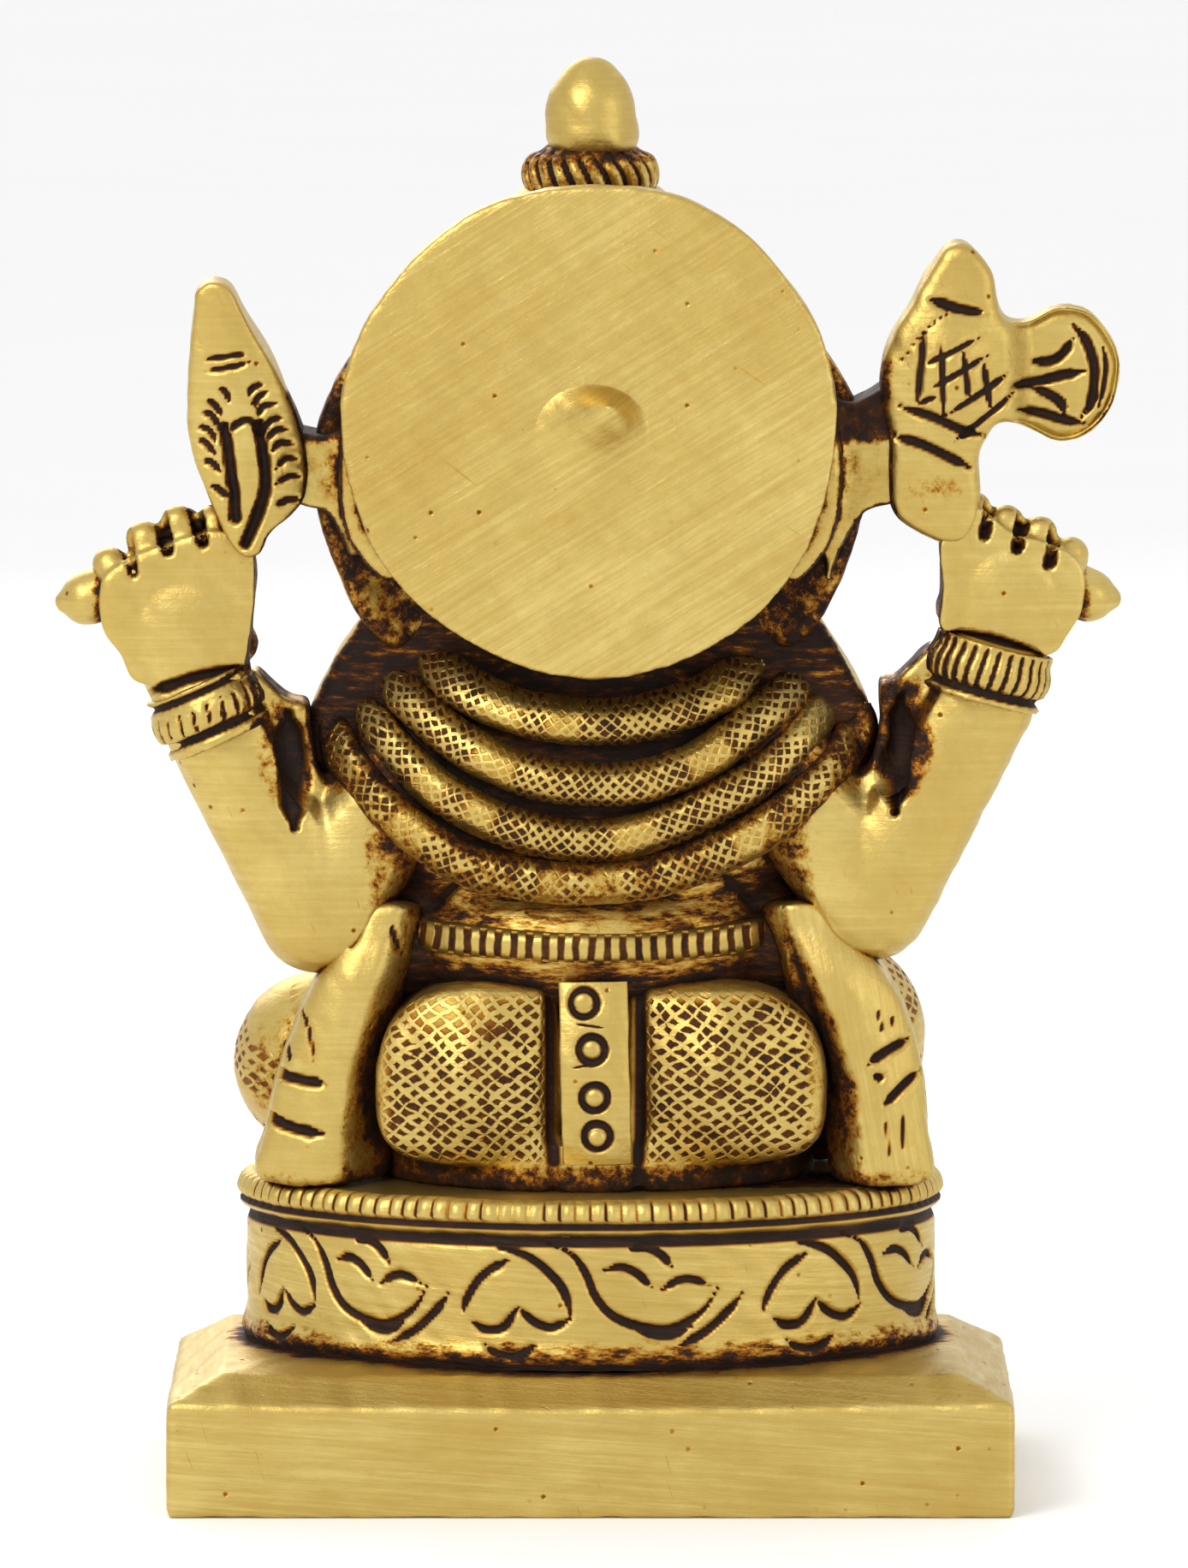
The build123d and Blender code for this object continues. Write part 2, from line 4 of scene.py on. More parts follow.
import bpy
import numpy as np
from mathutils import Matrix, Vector
from mathutils.bvhtree import BVHTree


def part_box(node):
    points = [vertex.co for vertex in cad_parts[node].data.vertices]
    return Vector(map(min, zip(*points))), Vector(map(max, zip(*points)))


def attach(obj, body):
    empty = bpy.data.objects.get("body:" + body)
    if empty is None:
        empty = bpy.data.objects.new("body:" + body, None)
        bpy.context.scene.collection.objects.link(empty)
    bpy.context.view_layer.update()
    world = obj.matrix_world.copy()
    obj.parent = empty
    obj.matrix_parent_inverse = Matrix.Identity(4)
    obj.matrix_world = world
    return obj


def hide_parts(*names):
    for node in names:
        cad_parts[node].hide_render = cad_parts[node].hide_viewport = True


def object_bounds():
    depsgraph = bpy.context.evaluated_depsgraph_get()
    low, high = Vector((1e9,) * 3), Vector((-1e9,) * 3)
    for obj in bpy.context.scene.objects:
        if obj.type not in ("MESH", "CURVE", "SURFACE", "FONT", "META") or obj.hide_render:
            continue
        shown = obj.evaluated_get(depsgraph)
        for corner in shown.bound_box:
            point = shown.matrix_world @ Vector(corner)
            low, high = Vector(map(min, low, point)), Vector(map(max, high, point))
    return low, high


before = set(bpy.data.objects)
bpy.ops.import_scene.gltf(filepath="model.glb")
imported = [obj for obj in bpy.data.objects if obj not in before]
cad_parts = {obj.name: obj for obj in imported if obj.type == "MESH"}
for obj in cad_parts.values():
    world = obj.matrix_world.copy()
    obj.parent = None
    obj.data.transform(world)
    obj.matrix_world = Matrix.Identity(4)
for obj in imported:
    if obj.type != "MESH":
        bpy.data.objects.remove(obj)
cad_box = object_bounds()

# Sizes and places are in millimetres in the row frame: +Z up, the figure faces -Y, its left is +X.
MM = 0.001
BACK, FRONT = (0, 1, 0), (0, -1, 0)
SIDES = {"left": 1, "right": -1}
BOX_MARGIN = 0.002
statue = []


# ---- putting clay together ----------------------------------------------------------------------
def nothing_selected():
    bpy.ops.object.select_all(action="DESELECT")


def take(piece):
    nothing_selected()
    piece.select_set(True)
    bpy.context.view_layer.objects.active = piece


def finish_with(piece, kind, **settings):
    take(piece)
    modifier = piece.modifiers.new(kind.title(), kind)
    for setting, value in settings.items():
        setattr(modifier, setting, value)
    bpy.ops.object.modifier_apply(modifier=modifier.name)


def placed(centre, turn):
    return {"location": Vector(centre) * MM, "rotation": [radians(angle) for angle in turn]}


def ball(centre, radii, turn=(0, 0, 0)):
    bpy.ops.mesh.primitive_uv_sphere_add(segments=32, ring_count=20, radius=MM, **placed(centre, turn))
    lump = bpy.context.object
    lump.scale = radii if isinstance(radii, tuple) else (radii, radii, radii)
    return lump


def rod(start, end, start_r, end_r):
    """A tapering bar with round ends."""
    a, b = Vector(start), Vector(end)
    along = b - a
    bpy.ops.mesh.primitive_cone_add(vertices=32, radius1=start_r * MM, radius2=end_r * MM,
                                    depth=along.length * MM, location=(a + b) / 2 * MM,
                                    rotation=along.to_track_quat("Z", "Y").to_euler())
    return [bpy.context.object, ball(start, start_r), ball(end, end_r)]


def bent_bar(points, radii):
    lumps = []
    for i in range(len(points) - 1):
        lumps += rod(points[i], points[i + 1], radii[i], radii[i + 1])
    return lumps


def block(centre, size):
    bpy.ops.mesh.primitive_cube_add(size=MM, **placed(centre, (0, 0, 0)))
    bpy.context.object.scale = size
    return bpy.context.object


def hoop(centre, turn, major, minor, squash=(1, 1, 1)):
    bpy.ops.mesh.primitive_torus_add(major_segments=64, minor_segments=16, major_radius=major * MM,
                                     minor_radius=minor * MM, **placed(centre, turn))
    bpy.context.object.scale = squash
    return bpy.context.object


def disc(centre, radius, thick, turn=(0, 0, 0), vertices=96):
    bpy.ops.mesh.primitive_cylinder_add(vertices=vertices, radius=radius * MM, depth=thick * MM,
                                        **placed(centre, turn))
    return bpy.context.object


def settle(name, lumps):
    """Joins lumps into one named piece whose place is in its mesh."""
    nothing_selected()
    for lump in lumps:
        lump.select_set(True)
    bpy.context.view_layer.objects.active = lumps[0]
    if len(lumps) > 1:
        bpy.ops.object.join()
    bpy.ops.object.transform_apply(location=True, rotation=True, scale=True)
    bpy.context.object.name = name
    bpy.context.object.data.name = name
    return bpy.context.object


def melt(name, lumps, grain=0.3, passes=4):
    """Runs joined lumps into one casting with an even skin, then rubs its creases soft."""
    piece = settle(name, lumps)
    finish_with(piece, "REMESH", mode="VOXEL", voxel_size=grain * MM, use_smooth_shade=True)
    if passes:
        finish_with(piece, "SMOOTH", factor=0.5, iterations=passes)
    return piece


def smooth_line(points, steps=6):
    """Points on a smooth curve through the ones given."""
    p = np.array(points, float)
    if len(p) < 3:
        return p
    p = np.vstack([2 * p[0] - p[1], p, 2 * p[-1] - p[-2]])
    t = np.linspace(0, 1, steps, endpoint=False)[:, None]
    runs = []
    for a, b, c, d in zip(p, p[1:], p[2:], p[3:]):
        runs.append(0.5 * (2 * b + (c - a) * t + (2 * a - 5 * b + 4 * c - d) * t**2
                           + (3 * b - a - 3 * c + d) * t**3))
    return np.vstack(runs + [p[-2:-1]])


def pad(outline, back, thick, soften, closed_steps=5):
    """A flat shape drawn in the XZ plane as a ring, pulled to its thickness, with its rims rounded."""
    ring = np.array(outline, float)
    ring = smooth_line(np.vstack([ring, ring[:1]]), closed_steps)[:-1]
    bpy.ops.mesh.primitive_circle_add(vertices=len(ring), radius=MM, fill_type="NGON")
    sheet = bpy.context.object
    for vertex, (x, z) in zip(sheet.data.vertices, ring):
        vertex.co = (x * MM, back * MM, z * MM)
    bpy.ops.object.mode_set(mode="EDIT")
    bpy.ops.mesh.select_all(action="SELECT")
    bpy.ops.mesh.extrude_region_move(TRANSFORM_OT_translate={"value": (0, -thick * MM, 0)})
    bpy.ops.mesh.select_all(action="SELECT")
    bpy.ops.mesh.normals_make_consistent(inside=False)
    bpy.ops.object.mode_set(mode="OBJECT")
    finish_with(sheet, "BEVEL", width=soften * MM, segments=4, limit_method="ANGLE",
                angle_limit=radians(50))
    return sheet


def mirrored(points, sign):
    """Points of an outline or a line, kept for 1 and swapped to the figure's other side for -1."""
    return [(sign * x, z) for x, z in points]


# ---- places of the skin, for chasing and wear ----------------------------------------------------
def spots(piece):
    places = np.empty(len(piece.data.vertices) * 3, np.float32)
    piece.data.vertices.foreach_get("co", places)
    return places.reshape(-1, 3).astype(float) / MM


def outward(piece):
    normals = np.empty(len(piece.data.vertices) * 3, np.float32)
    piece.data.vertex_normals.foreach_get("vector", normals)
    return normals.reshape(-1, 3).astype(float)


def move(piece, places):
    piece.data.vertices.foreach_set("co", (places * MM).astype(np.float32).ravel())
    piece.data.update()


def shifted(places, x=0.0, y=0.0, z=0.0):
    """The places moved along the axes, all by one amount or each by its own."""
    moved = places.copy()
    for axis, amount in enumerate((x, y, z)):
        moved[:, axis] += amount
    return moved


def mark(piece, name, values):
    layer = piece.data.attributes.get(name) or piece.data.attributes.new(name, "FLOAT", "POINT")
    layer.data.foreach_set("value", np.asarray(values, np.float32))


def marked(piece, name):
    values = np.zeros(len(piece.data.vertices), np.float32)
    if name in piece.data.attributes:
        piece.data.attributes[name].data.foreach_get("value", values)
    return values.astype(float)


def tarnish_and_shade(piece, amount):
    """Darkens a part of the skin where amount is 1: unpolished tarnish on some parts, painted shade on
    others.
    """
    mark(piece, "tarnish_and_shade_kept", np.maximum(marked(piece, "tarnish_and_shade_kept"), amount))


def ease(value, low, high):
    t = np.clip((value - low) / (high - low), 0, 1)
    return t * t * (3 - 2 * t)


def facing(piece, side, least=0.1):
    return ease(outward(piece) @ np.array(side, float), least, least + 0.25)


def swell(piece, centre, radii, height, side=None):
    """Raises (or with a negative height presses in) the skin softly round a place."""
    places = spots(piece)
    away = np.linalg.norm((places - np.array(centre)) / np.array(radii), axis=1)
    push = height * ease(1 - away, 0, 1)
    if side:
        push = push * facing(piece, side, 0.0)
    move(piece, places + outward(piece) * push[:, None])


def chase(piece, lines, width, depth, flat=None, where=None, taper=True, side=BACK):
    """Cuts lines with a graver. They are drawn in the XZ plane, or in the piece's own flat places."""
    places = spots(piece)
    normals = outward(piece)
    flat = places[:, (0, 2)] if flat is None else flat
    where = facing(piece, side) if where is None else where
    sink = np.zeros(len(places))
    for line in lines:
        line = smooth_line(line)
        near = np.flatnonzero(((flat > line.min(0) - width) & (flat < line.max(0) + width)).all(1))
        if not len(near):
            continue
        here = flat[near]
        away = np.full(len(near), 1e9)
        along = np.zeros(len(near))
        lengths = np.linalg.norm(np.diff(line, axis=0), axis=1)
        done = 0.0
        for a, b, length in zip(line, line[1:], lengths):
            share = np.clip((here - a) @ (b - a) / max(length**2, 1e-9), 0, 1)
            gap = np.linalg.norm(here - a - share[:, None] * (b - a), axis=1)
            closer = gap < away
            away[closer] = gap[closer]
            along[closer] = done + share[closer] * length
            done += length
        share = along / max(done, 1e-9)
        half = width / 2 * (np.clip(np.minimum(share, 1 - share) * 5, 0.25, 1) if taper else 1)
        sink[near] = np.maximum(sink[near], np.clip(1 - (away / half) ** 2, 0, 1))
    sink = sink * where
    move(piece, places - normals * (sink * depth)[:, None])
    mark(piece, "cut", np.maximum(marked(piece, "cut"), sink))


def punch(piece, places_to_hit, radius, depth, side=BACK, ring=0.0):
    """Round punch marks, or rings where ring gives the share of the radius that stays raised."""
    places = spots(piece)
    sink = np.zeros(len(places))
    for x, z in places_to_hit:
        away = np.hypot(places[:, 0] - x, places[:, 2] - z) / radius
        if ring:
            dent = np.clip(1 - (np.abs(away - (1 + ring) / 2) / ((1 - ring) / 2)) ** 2, 0, 1)
        else:
            dent = np.clip(1 - away**2, 0, 1)
        sink = np.maximum(sink, dent)
    sink = sink * facing(piece, side)
    move(piece, places - outward(piece) * (sink * depth)[:, None])
    mark(piece, "cut", np.maximum(marked(piece, "cut"), sink))


def band(name, across, along, place, thick):
    """A strip laid on the body: place() moves a flat grid and gives its millimetres along and across."""
    bpy.ops.mesh.primitive_grid_add(x_subdivisions=along, y_subdivisions=across, size=1)
    strip = settle(name, [bpy.context.object])
    grid = spots(strip) * MM
    places, run, over = place(grid[:, 0] + 0.5, grid[:, 1] * 2)
    move(strip, places)
    mark(strip, "along", run)
    mark(strip, "across", over)
    finish_with(strip, "SOLIDIFY", thickness=thick * MM, offset=-1)
    take(strip)
    bpy.ops.object.mode_set(mode="EDIT")
    bpy.ops.mesh.select_all(action="SELECT")
    bpy.ops.mesh.normals_make_consistent(inside=False)
    bpy.ops.object.mode_set(mode="OBJECT")
    bpy.ops.object.shade_smooth()
    return strip


# Waves that hand filing leaves in the skin: the way each runs, its height and its start.
FILED_WAVES = (((0.9, 0.5, 0.3), 1.0, 1.3), ((-0.4, 0.7, 1.1), 1.0, 0.4), ((1.9, -0.8, -1.4), 0.7, 0.0),
               ((-2.6, 1.4, 2.9), 0.5, 2.0))
FILED_DEPTH, FILED_SPREAD, FILED_SINK = 0.07, 2.4, 0.6


def file_by_hand(piece):
    """Leaves the gentle unevenness of a casting filed by hand."""
    places = spots(piece)
    wave = sum(height * np.sin(places @ np.array(way) + start) for way, height, start in FILED_WAVES)
    move(piece, places + outward(piece) * (FILED_DEPTH * (wave / FILED_SPREAD - FILED_SINK))[:, None])


def put(piece, finish, *nodes, slot="brass_figure"):
    """Sets a finished piece into the statue in place of its CAD nodes, inside the CAD box."""
    file_by_hand(piece)
    least, most = np.array(cad_box) / MM
    move(piece, np.clip(spots(piece), least + BOX_MARGIN, most - BOX_MARGIN))
    piece.data.materials.clear()
    piece.data.materials.append(finish)
    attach(piece, "root")
    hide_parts(*nodes)
    statue.append(piece)


# ---- finishes -----------------------------------------------------------------------------------
PALE_BRASS = (0.66, 0.51, 0.175, 1)
WORN_BRASS = (0.54, 0.39, 0.112, 1)
GOLD_BRASS = (0.44, 0.265, 0.050, 1)
# From here down the colours serve both old patina and painted shade.
AMBER_PATINA = (0.31, 0.115, 0.014, 1)
UMBER_PATINA = (0.090, 0.028, 0.006, 1)
DARKEST_PATINA_AND_SHADE = (0.014, 0.006, 0.003, 1)


class Recipe:
    """A material put together from nodes."""

    def __init__(self, name):
        self.material = bpy.data.materials.new(name)
        self.material.use_nodes = True
        self.tree = self.material.node_tree
        self.tree.nodes.clear()

    def add(self, kind, values=(), **settings):
        node = self.tree.nodes.new("ShaderNode" + kind)
        for setting, value in settings.items():
            setattr(node, setting, value)
        for socket, value in dict(values).items():
            if isinstance(value, bpy.types.NodeSocket):
                self.tree.links.new(value, node.inputs[socket])
            else:
                node.inputs[socket].default_value = value
        return node

    def math(self, operation, *values, clamp=False):
        return self.add("Math", enumerate(values), operation=operation, use_clamp=clamp).outputs[0]

    def total(self, *values, clamp=False):
        result = values[0]
        for value in values[1:]:
            result = self.math("ADD", result, value, clamp=clamp)
        return result

    def share(self, value, low, high):
        return self.add("MapRange", {"Value": value, "From Min": low, "From Max": high},
                        interpolation_type="SMOOTHSTEP").outputs["Result"]

    def seen(self, name):
        return self.add("Attribute", attribute_name=name).outputs["Fac"]

    def noise(self, place, size, detail=3.0, rough=0.55):
        return self.add("TexNoise", {"Vector": place, "Scale": 1000 / size, "Detail": detail,
                                     "Roughness": rough}).outputs["Fac"]

    def drawn_out(self, place, lean, scale):
        """Turns a pattern about Y, then stretches it, so that it runs as a file does."""
        turned = self.add("Mapping", {"Vector": place, "Rotation": (0, radians(lean), 0)}).outputs[0]
        return self.add("Mapping", {"Vector": turned, "Scale": scale}).outputs[0]

    def about(self, value, amount):
        """A noise value as a push either way, at most half the amount."""
        return self.math("MULTIPLY", self.math("SUBTRACT", value, 0.5), amount)

    def colours(self, value, stops):
        ramp = self.add("ValToRGB", {"Fac": value})
        while len(ramp.color_ramp.elements) < len(stops):
            ramp.color_ramp.elements.new(0.5)
        for element, (at, colour) in zip(ramp.color_ramp.elements, stops):
            element.position = at
            element.color = colour
        return ramp.outputs["Color"]

    def cells(self, value):
        """0 in the middle of each whole step of a value, 1 where one step meets the next."""
        from_middle = self.math("SUBTRACT", self.math("FRACT", value), 0.5)
        return self.math("MULTIPLY", self.math("ABSOLUTE", from_middle), 2.0)


def punched_net(r, place, pitch):
    """Diamond pits punched in crossing rows, on the piece's own along and across places."""
    along, across = r.seen("along"), r.seen("across")
    wobble = r.about(r.noise(place, 2.8, 2.0), 1.15)
    one = r.total(r.math("DIVIDE", r.math("ADD", along, across), pitch * sqrt(2)), wobble)
    two = r.total(r.math("DIVIDE", r.math("SUBTRACT", along, across), pitch * sqrt(2)), wobble, 0.37)
    edge = r.math("MAXIMUM", r.cells(one), r.cells(two))
    uneven = r.about(r.noise(place, 1.2, 3.0), 1.5)
    pit = r.share(r.math("ADD", edge, uneven), 0.72, 0.42)
    return r.math("MULTIPLY", pit, r.seen("net"))


def cut_ticks(r, place, pitch):
    """Parallel graver cuts across a band, at an even pitch along it."""
    wobble = r.about(r.noise(place, 1.8, 2.0), 0.35)
    edge = r.cells(r.total(r.math("DIVIDE", r.seen("along"), pitch), wobble))
    return r.math("MULTIPLY", r.share(edge, 0.45, 0.7525), r.seen("net"))


def brass(name, pattern=None, pitch=0.8, brushed=0.5, lean=0, dull=0.0, pitted=0.35, depth=0.16,
          streaks=0.0):
    """Cast brass, rubbed bright on its high places, with old patina in the hollows and cuts, and painted
    shade where a part was marked dark for it.
    """
    r = Recipe(name)
    place = r.add("TexCoord").outputs["Object"]
    streaked = (1 - 0.65 * streaks, 1.0, 1.0 + streaks)
    grained = r.add("Mapping", {"Vector": place, "Scale": streaked}).outputs[0]
    mottle = r.noise(grained, 1.3, 5.0, 0.74)
    fine = r.noise(place, 0.35, 3.0, 0.6)
    broad = r.noise(place, 11.0, 2.0)
    turned = r.drawn_out(place, lean, (0.07, 0.12, 2.2))
    lines = r.noise(turned, 0.75, 4.0, 0.7)
    crossed = r.drawn_out(place, lean + 68, (0.06, 1.0, 1.0))
    scratch = r.share(r.noise(crossed, 0.42, 2.0, 0.5), 0.68, 0.74)
    scratch = r.math("MULTIPLY", scratch, r.share(r.noise(place, 3.5, 2.0), 0.5, 0.64))
    # This attribute holds the patina in hollows together with the painted shade marked on some parts.
    patina_and_shade_seen = r.seen("patina_and_painted_shade")
    spread = r.math("MULTIPLY", r.share(patina_and_shade_seen, 0.0, 0.35), r.about(mottle, 2.1))
    patina_and_painted_shade = r.total(patina_and_shade_seen, spread, r.about(mottle, 0.25), r.about(broad, 0.35), dull)
    patina_and_painted_shade = r.math("MULTIPLY", r.share(patina_and_painted_shade, 0.2, 1.08), r.math("ADD", 0.86, r.about(mottle, 0.9)),
                    clamp=True)
    pock = r.add("TexVoronoi", {"Vector": place, "Scale": 850.0, "Randomness": 1.0})
    lot = r.add("SeparateColor", {"Color": pock.outputs["Color"]}).outputs[0]
    pock = r.math("MULTIPLY", r.share(pock.outputs["Distance"], 0.22, 0.06),
                  r.share(lot, 1 - 0.3 * pitted, 1 - 0.1 * pitted))
    cut = r.share(r.seen("cut"), 0.12, 0.8)
    worked = pattern(r, place, pitch) if pattern else 0.0
    sunk_and_shaded = r.math("MAXIMUM", patina_and_painted_shade, r.math("MULTIPLY", cut, 0.96))
    punched = r.math("MULTIPLY", worked, r.math("ADD", 0.78, r.about(mottle, 0.8)))
    grime_and_shade = r.math("MAXIMUM", sunk_and_shaded, r.math("MAXIMUM", punched, r.math("MULTIPLY", pock, 0.6)))
    tint = r.total(grime_and_shade, 0.1, r.about(broad, 0.22), r.about(lines, 0.34 * brushed), r.about(mottle, 0.14),
                   r.math("MULTIPLY", scratch, 0.13), clamp=True)
    colour = r.colours(tint, ((0.0, PALE_BRASS), (0.1, WORN_BRASS), (0.3, GOLD_BRASS), (0.55, AMBER_PATINA),
                              (0.78, UMBER_PATINA), (1.0, DARKEST_PATINA_AND_SHADE)))
    rough = r.total(0.40, r.math("MULTIPLY", grime_and_shade, 0.26), r.about(lines, 0.3 * brushed),
                    r.about(fine, 0.14), clamp=True)
    metal = r.share(grime_and_shade, 1.15, 0.35)
    crust = r.math("MULTIPLY", r.about(mottle, 0.16), r.share(patina_and_painted_shade, 0.0, 0.5))
    height = r.total(r.math("MULTIPLY", worked, -depth), r.math("MULTIPLY", pock, -0.07),
                     r.about(lines, 0.05 * brushed), r.math("MULTIPLY", scratch, -0.02),
                     r.about(fine, 0.03), crust, r.about(mottle, 0.03))
    bump = r.add("Bump", {"Height": height, "Distance": MM, "Strength": 1.0}).outputs["Normal"]
    shader = r.add("BsdfPrincipled", {"Base Color": colour, "Roughness": rough, "Metallic": metal,
                                      "Normal": bump, "Specular IOR Level": 0.22})
    r.add("OutputMaterial", {"Surface": shader.outputs[0]})
    return r.material


smooth_brass = brass("smooth_cast_brass", brushed=0.5)
brushed_brass = brass("brushed_halo_brass", brushed=1.0, lean=-32, pitted=0.25)
base_brass = brass("brushed_base_brass", brushed=1.0, lean=4, pitted=0.65, streaks=0.7)
netted_brass = brass("punched_net_brass", punched_net, 0.74)
collar_brass = brass("punched_collar_brass", punched_net, 0.64)
ticked_brass = brass("ticked_brass", cut_ticks, 1.16, depth=0.3)
aged_brass = brass("mottled_brass", brushed=0.3, dull=0.16)
streaked_brass = brass("streaked_brass", brushed=0.4, dull=0.06, streaks=0.9)
stained_brass = brass("stained_fold_brass", brushed=0.8, lean=80, dull=0.14)


# ---- base ---------------------------------------------------------------------------------------
def edit_only(piece, parts, wanted):
    """Opens a piece in edit mode with only those of its "edges" or "polygons" selected that are wanted."""
    take(piece)
    bpy.ops.object.mode_set(mode="EDIT")
    bpy.ops.mesh.select_all(action="DESELECT")
    bpy.ops.object.mode_set(mode="OBJECT")
    for part in getattr(piece.data, parts):
        part.select = wanted(part)
    bpy.ops.object.mode_set(mode="EDIT")


PLINTH_EDGE_Z, PLINTH_RISE, PLINTH_CORNER = 8.5, 2.0, 4.2


def make_plinth():
    low, high = (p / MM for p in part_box("plinth"))
    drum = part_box("pedestal_drum")[1] / MM
    slab = block((0, 0, PLINTH_EDGE_Z / 2), (high.x - low.x, high.y - low.y, PLINTH_EDGE_Z))
    take(slab)
    bpy.ops.object.transform_apply(location=True, rotation=True, scale=True)

    def front_corner(edge):
        a, b = (slab.data.vertices[i].co for i in edge.vertices)
        return abs(a.x - b.x) + abs(a.y - b.y) < MM / 10 and a.y < 0
    edit_only(slab, "edges", front_corner)
    bpy.ops.mesh.bevel(offset=PLINTH_CORNER * MM, segments=6)
    bpy.ops.object.mode_set(mode="OBJECT")
    edit_only(slab, "polygons", lambda face: face.normal.z > 0.9)
    bpy.ops.mesh.extrude_region_move(TRANSFORM_OT_translate={"value": (0, 0, PLINTH_RISE * MM)})
    bpy.ops.transform.resize(value=(0.87, 0.86, 1), center_override=(0, 0, 0))
    bpy.ops.object.mode_set(mode="OBJECT")
    slab = melt("plinth_slab", [slab], 0.42, 3)
    places = spots(slab)
    from_drum = np.hypot(places[:, 0] / drum.x, places[:, 1] / drum.y)
    tarnish_and_shade(slab, 0.6 * ease(from_drum, 1.1, 1.0) * ease(places[:, 2], 8.6, 9.4))
    front_wear = 1.7 * ease(places[:, 1], -8, -20) * ease(places[:, 2], 5, PLINTH_EDGE_Z + PLINTH_RISE)
    places = shifted(places, z=-front_wear)
    back_wear = 0.45 * (1 - (places[:, 0] / 31.4) ** 2) * ease(places[:, 2], 4, PLINTH_EDGE_Z)
    back_wear = back_wear * ease(places[:, 1], 14, 21)
    move(slab, shifted(places, z=-back_wear))
    put(slab, base_brass, "plinth", slot="brass_base")


def girth(radius_x, radius_y, places):
    """How far round an oval each place is, in millimetres from the middle of the back, towards +X."""
    turn = np.linspace(-pi, pi, 2001)
    x, y = radius_x * np.cos(turn), radius_y * np.sin(turn)
    run = np.concatenate([[0], np.cumsum(np.hypot(np.diff(x), np.diff(y)))])
    own = np.arctan2(places[:, 1] / radius_y, places[:, 0] / radius_x)
    middle = np.interp(pi / 2, turn, run)
    whole = run[-1]
    return (middle - np.interp(own, turn, run) + whole / 2) % whole - whole / 2, whole


def wall_of(places, rx, ry):
    """1 on an oval drum's wall and 0 inside it, and the way that its wall faces."""
    side = places * np.array([1 / rx, 1 / ry, 0])
    side /= np.linalg.norm(side, axis=1)[:, None] + 1e-9
    return ease(np.hypot(places[:, 0] / rx, places[:, 1] / ry), 0.97, 0.99), side


def oval_wall(name, rx, ry, low, high, around, rows):
    """An oval drum with an evenly divided wall and closed ends."""
    drum = settle(name, [disc((0, 0, (low + high) / 2), 1, high - low, vertices=around)])

    def upright(edge):
        a, b = (drum.data.vertices[i].co for i in edge.vertices)
        return abs(a.z - b.z) > MM / 10
    bpy.context.tool_settings.mesh_select_mode = (False, True, False)
    edit_only(drum, "edges", upright)
    bpy.ops.mesh.subdivide(number_cuts=rows)
    bpy.ops.object.mode_set(mode="OBJECT")
    bpy.context.tool_settings.mesh_select_mode = (True, False, False)
    places = spots(drum)
    places[:, 0] *= rx
    places[:, 1] *= ry
    move(drum, places)
    bpy.ops.object.shade_smooth_by_angle(angle=radians(50))
    return drum


# One repeat of the vine engraved round the drum, from one heart to the next: x from the heart's middle,
# z above the drum's foot.
VINE_REPEAT = 22.9
VINE = (
    [(-4.3, 2.9), (-3.7, 4.5), (-2.5, 6.1), (-0.5, 7.3)],
    [(-1.5, 8.1), (0.5, 7.6), (2.0, 6.6), (3.4, 5.0), (4.0, 2.9)],
    [(-3.5, 2.5), (-2.3, 1.9), (-1.0, 2.2), (0, 3.7)],
    [(0, 3.7), (1.2, 2.6), (2.6, 2.2), (4.0, 2.9)],
    [(-2.5, 0.9), (-1.6, 0.3), (-0.1, 0.1), (1.5, 1.0)],
    [(2.3, 8.5), (4.0, 7.7), (5.1, 6.2), (5.8, 4.5), (7.0, 3.1), (8.8, 2.3), (11.2, 2.0), (13.0, 2.7),
     (14.2, 3.7), (15.0, 5.0)],
    [(8.9, 1.9), (11.2, 1.5), (13.0, 2.2)],
    [(6.4, 6.5), (7.7, 6.7), (8.9, 6.2), (10.0, 5.1)],
    [(8.2, 7.9), (9.5, 8.2), (10.7, 7.6), (11.6, 6.5)],
    [(10.7, 4.9), (11.9, 5.6), (13.0, 5.7), (14.4, 5.2)],
    [(11.8, 0.7), (14.0, 1.7), (15.8, 3.2), (16.9, 4.5)],
)
# How far round the drum each heart stands from the middle of the back.
HEARTS = (-26.0, -5.5, 17.7, 41.7, 65.7, 89.7)


VINE_WIDE, VINE_DEEP = 0.78, 0.4


def make_drum():
    low, high = (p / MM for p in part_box("pedestal_drum"))
    rx, ry = high.x, high.y
    drum = oval_wall("pedestal_drum_scrolls", rx, ry, low.z - 0.3, high.z + 0.2, 640, 46)
    places = spots(drum)
    up = places[:, 2]
    run, whole = girth(rx, ry, places)
    wall, side = wall_of(places, rx, ry)
    lip = 0.35 * np.exp(-((up - 11.4) / 0.8) ** 2) - 0.3 * ease(up, 19.2, 20.2)
    move(drum, places + side * ((lip - 0.25) * wall)[:, None])
    strokes = []
    for heart, following in zip(HEARTS, HEARTS[1:] + (HEARTS[0] + whole,)):
        stretch = (following - heart) / VINE_REPEAT
        for shift in (heart, heart - whole):
            strokes += [[(x * stretch + shift, z) for x, z in stroke] for stroke in VINE]
    flat = np.column_stack([-run, up - low.z - 0.8])
    chase(drum, strokes, VINE_WIDE, VINE_DEEP, flat=flat, where=wall)
    rim = np.maximum(ease(up, 19.3, 19.9), ease(up, 11.0, 10.7) * 0.8)
    mark(drum, "cut", np.maximum(marked(drum, "cut"), rim * wall))
    tarnish_and_shade(drum, 0.6 * wall * ease(up, 13.4, 11.2))
    put(drum, base_brass, "pedestal_drum", slot="brass_base")


RIB_PITCH = 1.2


